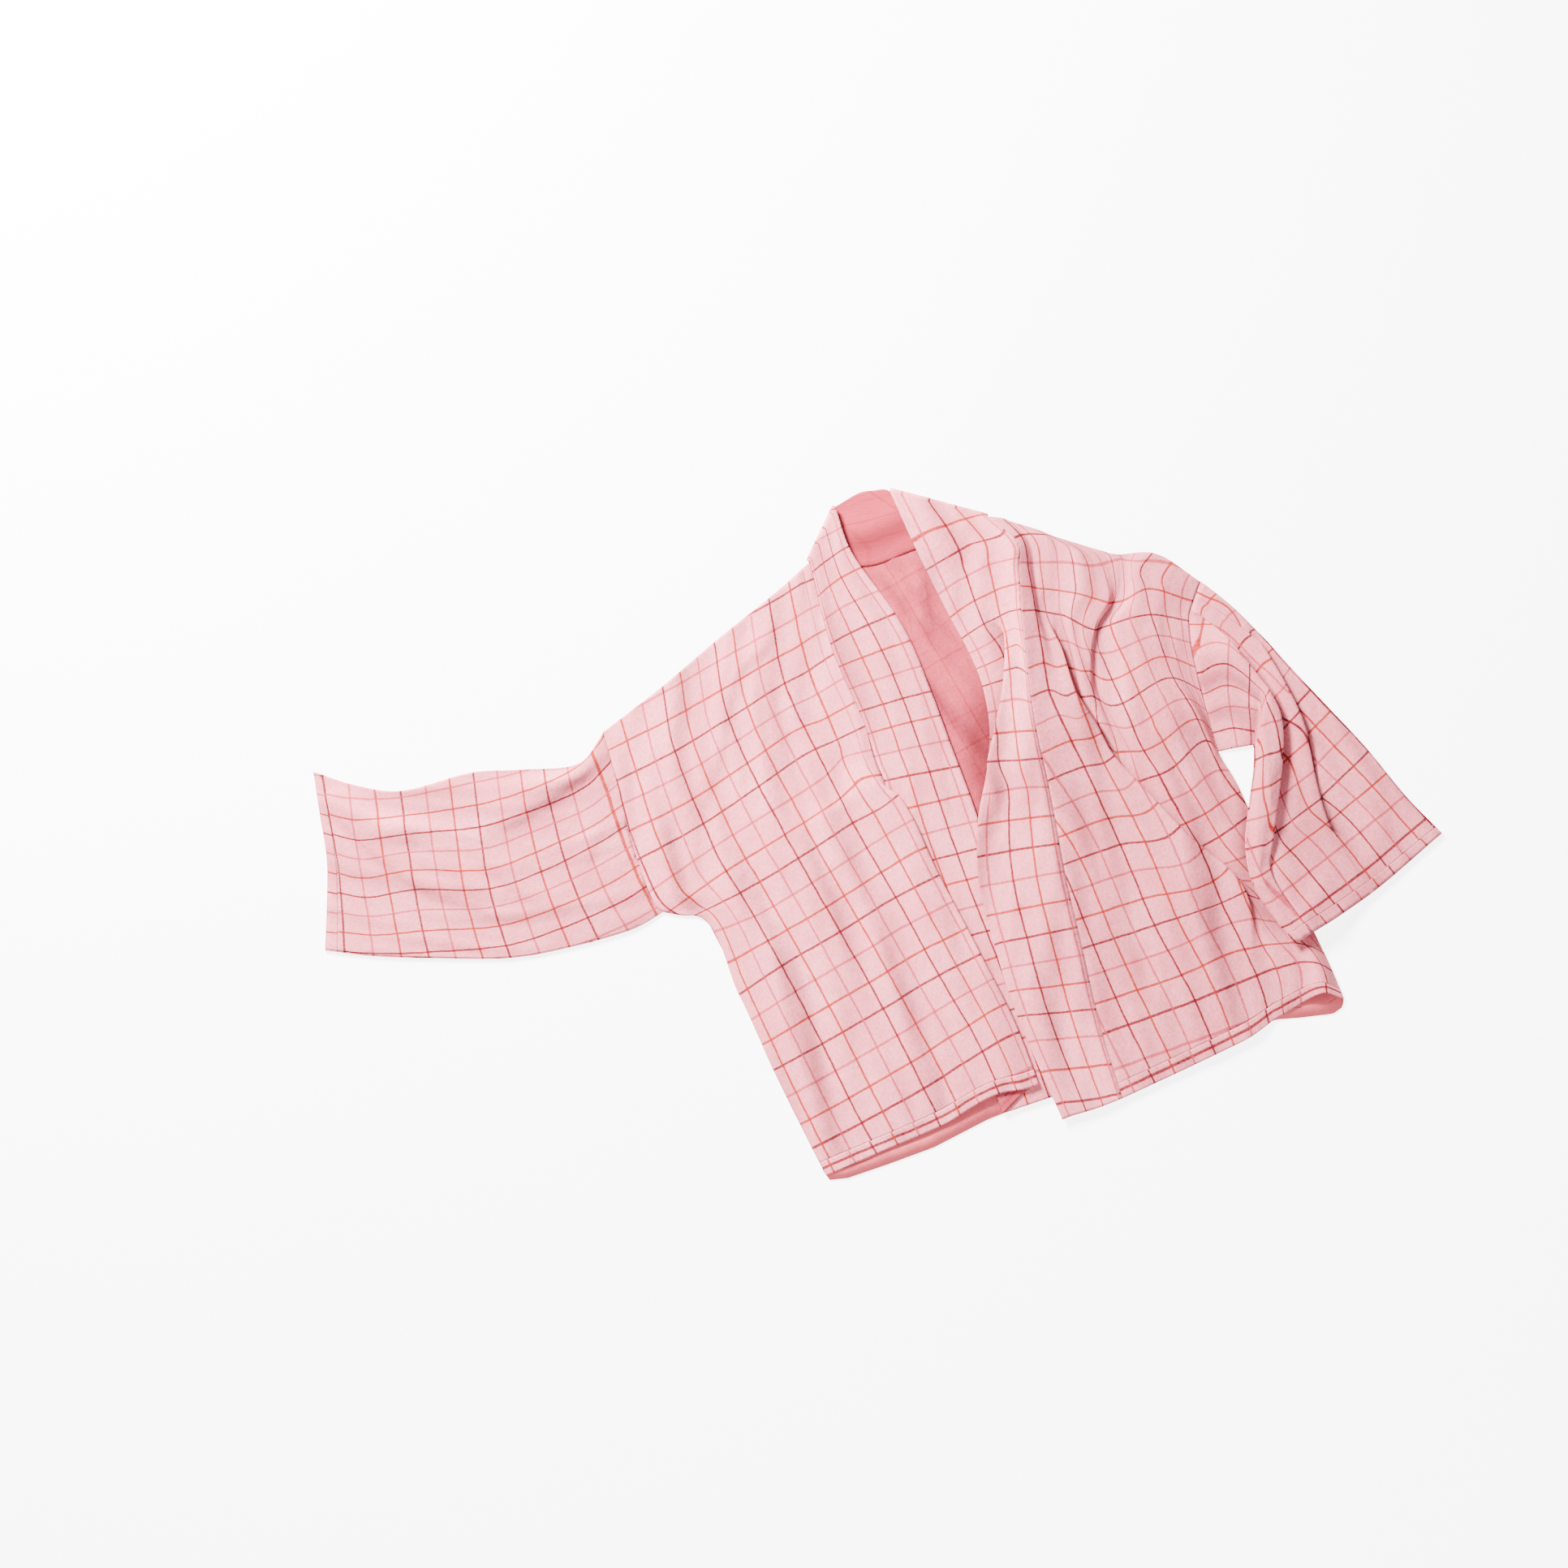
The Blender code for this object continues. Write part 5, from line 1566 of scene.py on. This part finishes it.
class JACKET_PG_stitches(bpy.types.PropertyGroup):
    """Sizes and colours of the topstitching."""

    pitch: bpy.props.FloatProperty(
        name="Stitch pitch", description="Distance from one stitch to the next",
        default=0.0026, unit="LENGTH")
    length: bpy.props.FloatProperty(
        name="Stitch length", description="Length of the thread that shows",
        default=0.0020, unit="LENGTH")
    thread: bpy.props.FloatProperty(
        name="Thread thickness", description="Thickness of the sewing thread",
        default=0.00036, unit="LENGTH")
    seed: bpy.props.IntProperty(
        name="Seed", description="Start of the stitches' slight unevenness", default=7, min=0)
    light: bpy.props.FloatVectorProperty(
        name="Light thread", description="Pale pink thread of hems, cuffs and seams",
        default=(0.92, 0.33, 0.39), subtype="COLOR", size=3)
    deep: bpy.props.FloatVectorProperty(
        name="Deep thread", description="Thread of the seam at the back neck, on the coral side",
        default=(0.42, 0.03, 0.05), subtype="COLOR", size=3)


class JACKET_PG_stage(bpy.types.PropertyGroup):
    """The surface, the lights and the camera."""

    floor: bpy.props.FloatVectorProperty(
        name="Surface colour", description="Colour of the surface that the jacket lies on",
        default=(0.93, 0.93, 0.93), subtype="COLOR", size=3)
    glow: bpy.props.FloatProperty(
        name="Surface glow",
        description="Light that the pale surface gives off itself, as a light table does",
        default=4.8, min=0.0)
    camera_height: bpy.props.FloatProperty(
        name="Camera height", description="Height of the camera above the surface",
        default=2.6, unit="LENGTH")
    view_width: bpy.props.FloatProperty(
        name="View width", description="Width of the surface that the camera takes in",
        default=1.642, unit="LENGTH")


class JACKET_OT_back(bpy.types.Operator):
    """Make the back panel, with its coral side up"""

    bl_idname = "jacket.back"
    bl_label = "Back"

    def execute(self, context):
        plan = back_grid()
        thickness = context.scene.jacket_cloth.thickness / MM
        grid = at_level(plan, thickness / 2)
        for crease in BACK_CREASES:
            grid[..., 2] += ridge_height(grid, crease)
        x, y = plan[..., 0], plan[..., 1]
        straight, slant = BACK_WARP
        across = BACK_START[0] - (x * straight + y * slant)
        along = BACK_START[1] - (y * straight - x * slant)
        cloth = np.stack([across, along], axis=-1)
        facing = normals_of(grid)
        facing *= np.sign(facing[..., 2:])
        edges = np.full(cloth.shape, FAR)
        edges[..., 0] = np.linalg.norm(grid - grid[-1:], axis=-1)
        edges[..., 1] = np.linalg.norm(grid - grid[:1], axis=-1)
        outer, inner = cloth_materials("back")
        thick = np.full(grid.shape[:2], thickness)
        piece = add_wall("back_panel", grid, cloth, edges, facing, thick, (inner, outer))
        place_on_frame(piece, "back")
        return {"FINISHED"}


class JACKET_OT_front_right(bpy.types.Operator):
    """Make the wearer's right front"""

    bl_idname = "jacket.front_right"
    bl_label = "Right front"

    def execute(self, context):
        piece = wall_piece("right_front", "front_right")
        return {"FINISHED"}


class JACKET_OT_front_left(bpy.types.Operator):
    """Make the wearer's left front"""

    bl_idname = "jacket.front_left"
    bl_label = "Left front"

    def execute(self, context):
        piece = wall_piece("left_front", "front_left")
        return {"FINISHED"}


class JACKET_OT_neckband(bpy.types.Operator):
    """Make the neckband, from hem to hem round the neck"""

    bl_idname = "jacket.neckband"
    bl_label = "Neckband"

    def execute(self, context):
        s = context.scene.jacket_cloth
        thickness = np.full(LAID["neckband"][0].shape[1], s.band_thickness / MM)
        thickness[0] = s.thickness / MM
        piece = wall_piece("band", "neckband", thickness=thickness)
        return {"FINISHED"}


class JACKET_OT_sleeves(bpy.types.Operator):
    """Make the two tube sleeves"""

    bl_idname = "jacket.sleeves"
    bl_label = "Sleeves"

    def execute(self, context):
        for name, node, turned, area in (
            ("right_sleeve", "sleeve_right", True, 0.143),
            ("left_sleeve", "sleeve_left", False, 0.126),
        ):
            piece = wall_piece(name, node, True, turned)
        return {"FINISHED"}


def inset_line(lines, distance):
    """Points at a distance from the start of each line of points."""
    steps = np.linalg.norm(np.diff(lines, axis=1), axis=-1)
    walked = np.concatenate([np.zeros((len(lines), 1)), np.cumsum(steps, axis=1)], axis=1)
    return np.array([
        [np.interp(distance, steps_there, line[:, k]) for k in range(3)]
        for steps_there, line in zip(walked, lines)])


def stitch_lines(settings):
    """Every row of stitches, as points just over the cloth in millimetres, by its thread."""
    half = settings.thickness / MM / 2 + THREAD_RISE
    band_half = settings.band_thickness / MM / 2 + THREAD_RISE
    faces = {}
    for node, rise in (("front_right", half), ("front_left", half), ("neckband", -band_half),
                       ("sleeve_right", -half), ("sleeve_left", half)):
        grid, _, _, facing = LAID[node]
        faces[node] = grid + facing * rise
    right, left, band = faces["front_right"], faces["front_left"], faces["neckband"]
    at_right = int(np.sum(DOWN_RIGHT <= ARMHOLE_RIGHT + 1e-6))
    at_left = int(np.sum(DOWN_LEFT <= ARMHOLE_LEFT + 1e-6))
    light = [
        inset_line(right.swapaxes(0, 1)[:, ::-1], STITCH_AT_HEM),
        inset_line(left.swapaxes(0, 1)[:, ::-1], STITCH_AT_HEM),
        inset_line(right[:at_right], STITCH_AT_SEAM),
        inset_line(left[:at_left, ::-1], STITCH_AT_SEAM),
    ]
    for node in ("sleeve_right", "sleeve_left"):
        light.append(inset_line(faces[node].swapaxes(0, 1)[:-LOWER_POINTS, ::-1], STITCH_AT_HEM))
    across_band = inset_line(band, STITCH_AT_SEAM)
    at_neck = slice(len(DOWN_RIGHT), len(band) - len(DOWN_LEFT))
    light += [across_band[:at_neck.start], across_band[at_neck.stop:]]
    back = at_level(back_grid(), settings.thickness / MM + THREAD_RISE)
    light.append(inset_line(back.swapaxes(0, 1)[:, ::-1], STITCH_AT_HEM))
    grid, _, _, facing = LAID["neckband"]
    deep = [inset_line(grid + facing * half, STITCH_AT_NECK)[at_neck]]
    return {"light": light, "deep": deep}


class Tree:
    """A geometry node tree with named inputs."""

    def __init__(self, name, inputs):
        self.tree = bpy.data.node_groups.new(name, "GeometryNodeTree")
        self.tree.interface.new_socket("Geometry", in_out="INPUT", socket_type="NodeSocketGeometry")
        self.tree.interface.new_socket("Geometry", in_out="OUTPUT", socket_type="NodeSocketGeometry")
        self.keys = {}
        for key, (kind, value) in inputs.items():
            socket = self.tree.interface.new_socket(key, in_out="INPUT", socket_type=kind)
            self.keys[key] = (socket.identifier, value)
        self.start = self.tree.nodes.new("NodeGroupInput").outputs

    def node(self, kind, settings=None, **inputs):
        made = self.tree.nodes.new(kind)
        for key, value in (settings or {}).items():
            setattr(made, key, value)
        for key, value in inputs.items():
            socket = made.inputs[key.replace("_", " ")]
            if isinstance(value, bpy.types.NodeSocket):
                self.tree.links.new(value, socket)
            else:
                socket.default_value = value
        return made.outputs[0]


def stitch_tree(settings, material):
    """Stitches along every row: each row as a curve, and a short rounded thread at each pitch."""
    t = Tree("stitches_along_rows", {
        "Pitch": ("NodeSocketFloat", settings.pitch),
        "Stitch length": ("NodeSocketFloat", settings.length),
        "Thread": ("NodeSocketFloat", settings.thread),
        "Seed": ("NodeSocketInt", settings.seed),
    })
    curve = t.node("GeometryNodeMeshToCurve", Mesh=t.start["Geometry"])
    curve = t.node("GeometryNodeResampleCurve", {"mode": "LENGTH"}, Curve=curve, Length=t.start["Pitch"])
    thread = t.node("GeometryNodeMeshUVSphere", Segments=6, Rings=4, Radius=0.5)
    uneven = t.tree.nodes.new("FunctionNodeRandomValue")
    uneven.data_type = "FLOAT_VECTOR"
    uneven.inputs[0].default_value = tuple(-share for share in UNEVEN_STITCH)
    uneven.inputs[1].default_value = UNEVEN_STITCH
    t.tree.links.new(t.start["Seed"], uneven.inputs["Seed"])
    way = t.tree.nodes.new("ShaderNodeVectorMath")
    t.tree.links.new(t.node("GeometryNodeInputTangent"), way.inputs[0])
    t.tree.links.new(uneven.outputs[0], way.inputs[1])
    turn = t.node("FunctionNodeAlignRotationToVector", {"axis": "Z"}, Vector=way.outputs[0])
    size = t.node(
        "ShaderNodeCombineXYZ", X=t.start["Thread"], Y=t.start["Thread"], Z=t.start["Stitch length"])
    placed = t.node("GeometryNodeInstanceOnPoints", Points=curve, Instance=thread, Rotation=turn, Scale=size)
    real = t.node("GeometryNodeRealizeInstances", Geometry=placed)
    done = t.node("GeometryNodeSetMaterial", Geometry=real, Material=material)
    end = t.tree.nodes.new("NodeGroupOutput")
    t.tree.links.new(done, end.inputs["Geometry"])
    return t


class JACKET_OT_stitches(bpy.types.Operator):
    """Make the rows of topstitching along hems, cuffs and seams"""

    bl_idname = "jacket.stitches"
    bl_label = "Stitches"

    def execute(self, context):
        s = context.scene.jacket_stitches
        for thread, rows in stitch_lines(context.scene.jacket_cloth).items():
            material = stitch_thread(thread + "_thread", getattr(s, thread))
            points = np.concatenate(rows) * MM
            starts = np.append(0, np.cumsum([len(row) for row in rows]))
            joined = [(k, k + 1) for a, b in zip(starts, starts[1:]) for k in range(a, b - 1)]
            mesh = bpy.data.meshes.new(thread + "_stitches")
            mesh.from_pydata(points.tolist(), joined, [])
            piece = bpy.data.objects.new(thread + "_stitches", mesh)
            context.scene.collection.objects.link(piece)
            tree = stitch_tree(s, material)
            changed = piece.modifiers.new("stitches", "NODES")
            changed.node_group = tree.tree
            for key, value in tree.keys.values():
                changed[key] = value
            evaluated = piece.evaluated_get(context.evaluated_depsgraph_get())
            made = bpy.data.meshes.new_from_object(evaluated)
            piece.modifiers.remove(changed)
            piece.data = made
            made.shade_smooth()
            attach(piece, "root")
        return {"FINISHED"}


class JACKET_OT_stage(bpy.types.Operator):
    """Make the pale surface, the soft lights and the camera"""

    bl_idname = "jacket.stage"
    bl_label = "Surface, lights and camera"

    def execute(self, context):
        s = context.scene.jacket_stage
        corners = [(x * SURFACE_HALF, y * SURFACE_HALF, 0) for x, y in ((-1, -1), (1, -1), (1, 1), (-1, 1))]
        mesh = bpy.data.meshes.new("floor")
        mesh.from_pydata(corners, [], [(0, 1, 2, 3)])
        floor = bpy.data.objects.new("floor", mesh)
        context.scene.collection.objects.link(floor)
        surface = Graph("pale_surface")
        surface.shader.inputs["Emission Color"].default_value = (1, 1, 1, 1)
        surface.shader.inputs["Emission Strength"].default_value = s.glow
        mesh.materials.append(surface.finish((*s.floor, 1.0), SURFACE_ROUGH))
        world = bpy.data.worlds.new("soft_room")
        world.use_nodes = True
        room = world.node_tree.nodes["Background"].inputs
        room["Color"].default_value = (1, 1, 1, 1)
        room["Strength"].default_value = ROOM_LIGHT
        context.scene.world = world
        for name, place, size, power in LAMPS:
            lamp = bpy.data.lights.new(name, "AREA")
            lamp.size = size
            lamp.energy = power
            lit = bpy.data.objects.new(name, lamp)
            lit.location = place
            way = math.atan2(place[1], place[0])
            lit.rotation_euler = (0, math.atan2(math.hypot(place[0], place[1]), place[2]), way)
            context.scene.collection.objects.link(lit)
        lens = bpy.data.cameras.new("camera")
        lens.type = "PERSP"
        lens.sensor_width = SENSOR
        lens.lens = SENSOR * s.camera_height / s.view_width
        camera = bpy.data.objects.new("camera", lens)
        camera.location = (*CAMERA_OVER, s.camera_height)
        context.scene.collection.objects.link(camera)
        context.scene.camera = camera
        return {"FINISHED"}


class JACKET_PT_panel(bpy.types.Panel):
    """The jacket's pieces, in the order that they are laid"""

    bl_idname = "JACKET_PT_panel"
    bl_label = "Laid kimono jacket"
    bl_space_type = "VIEW_3D"
    bl_region_type = "UI"
    bl_category = "Jacket"

    def draw(self, context):
        for operator in OPERATORS:
            self.layout.operator(operator.bl_idname)
        for name, kind in SETTINGS:
            settings = getattr(context.scene, name)
            for key in kind.__annotations__:
                self.layout.prop(settings, key)


OPERATORS = (
    JACKET_OT_stage,
    JACKET_OT_back,
    JACKET_OT_front_right,
    JACKET_OT_front_left,
    JACKET_OT_neckband,
    JACKET_OT_sleeves,
    JACKET_OT_stitches,
)
SETTINGS = (
    ("jacket_cloth", JACKET_PG_cloth),
    ("jacket_stitches", JACKET_PG_stitches),
    ("jacket_stage", JACKET_PG_stage),
)
CLASSES = (*[kind for _, kind in SETTINGS], *OPERATORS, JACKET_PT_panel)


def register():
    for kind in CLASSES:
        bpy.utils.register_class(kind)
    for name, kind in SETTINGS:
        setattr(bpy.types.Scene, name, bpy.props.PointerProperty(type=kind))


def unregister():
    for name, _ in SETTINGS:
        delattr(bpy.types.Scene, name)
    for kind in reversed(CLASSES):
        bpy.utils.unregister_class(kind)


def main():
    register()
    for operator in OPERATORS:
        group, name = operator.bl_idname.split(".")
        getattr(getattr(bpy.ops, group), name)()


if __name__ == "__main__":
    main()
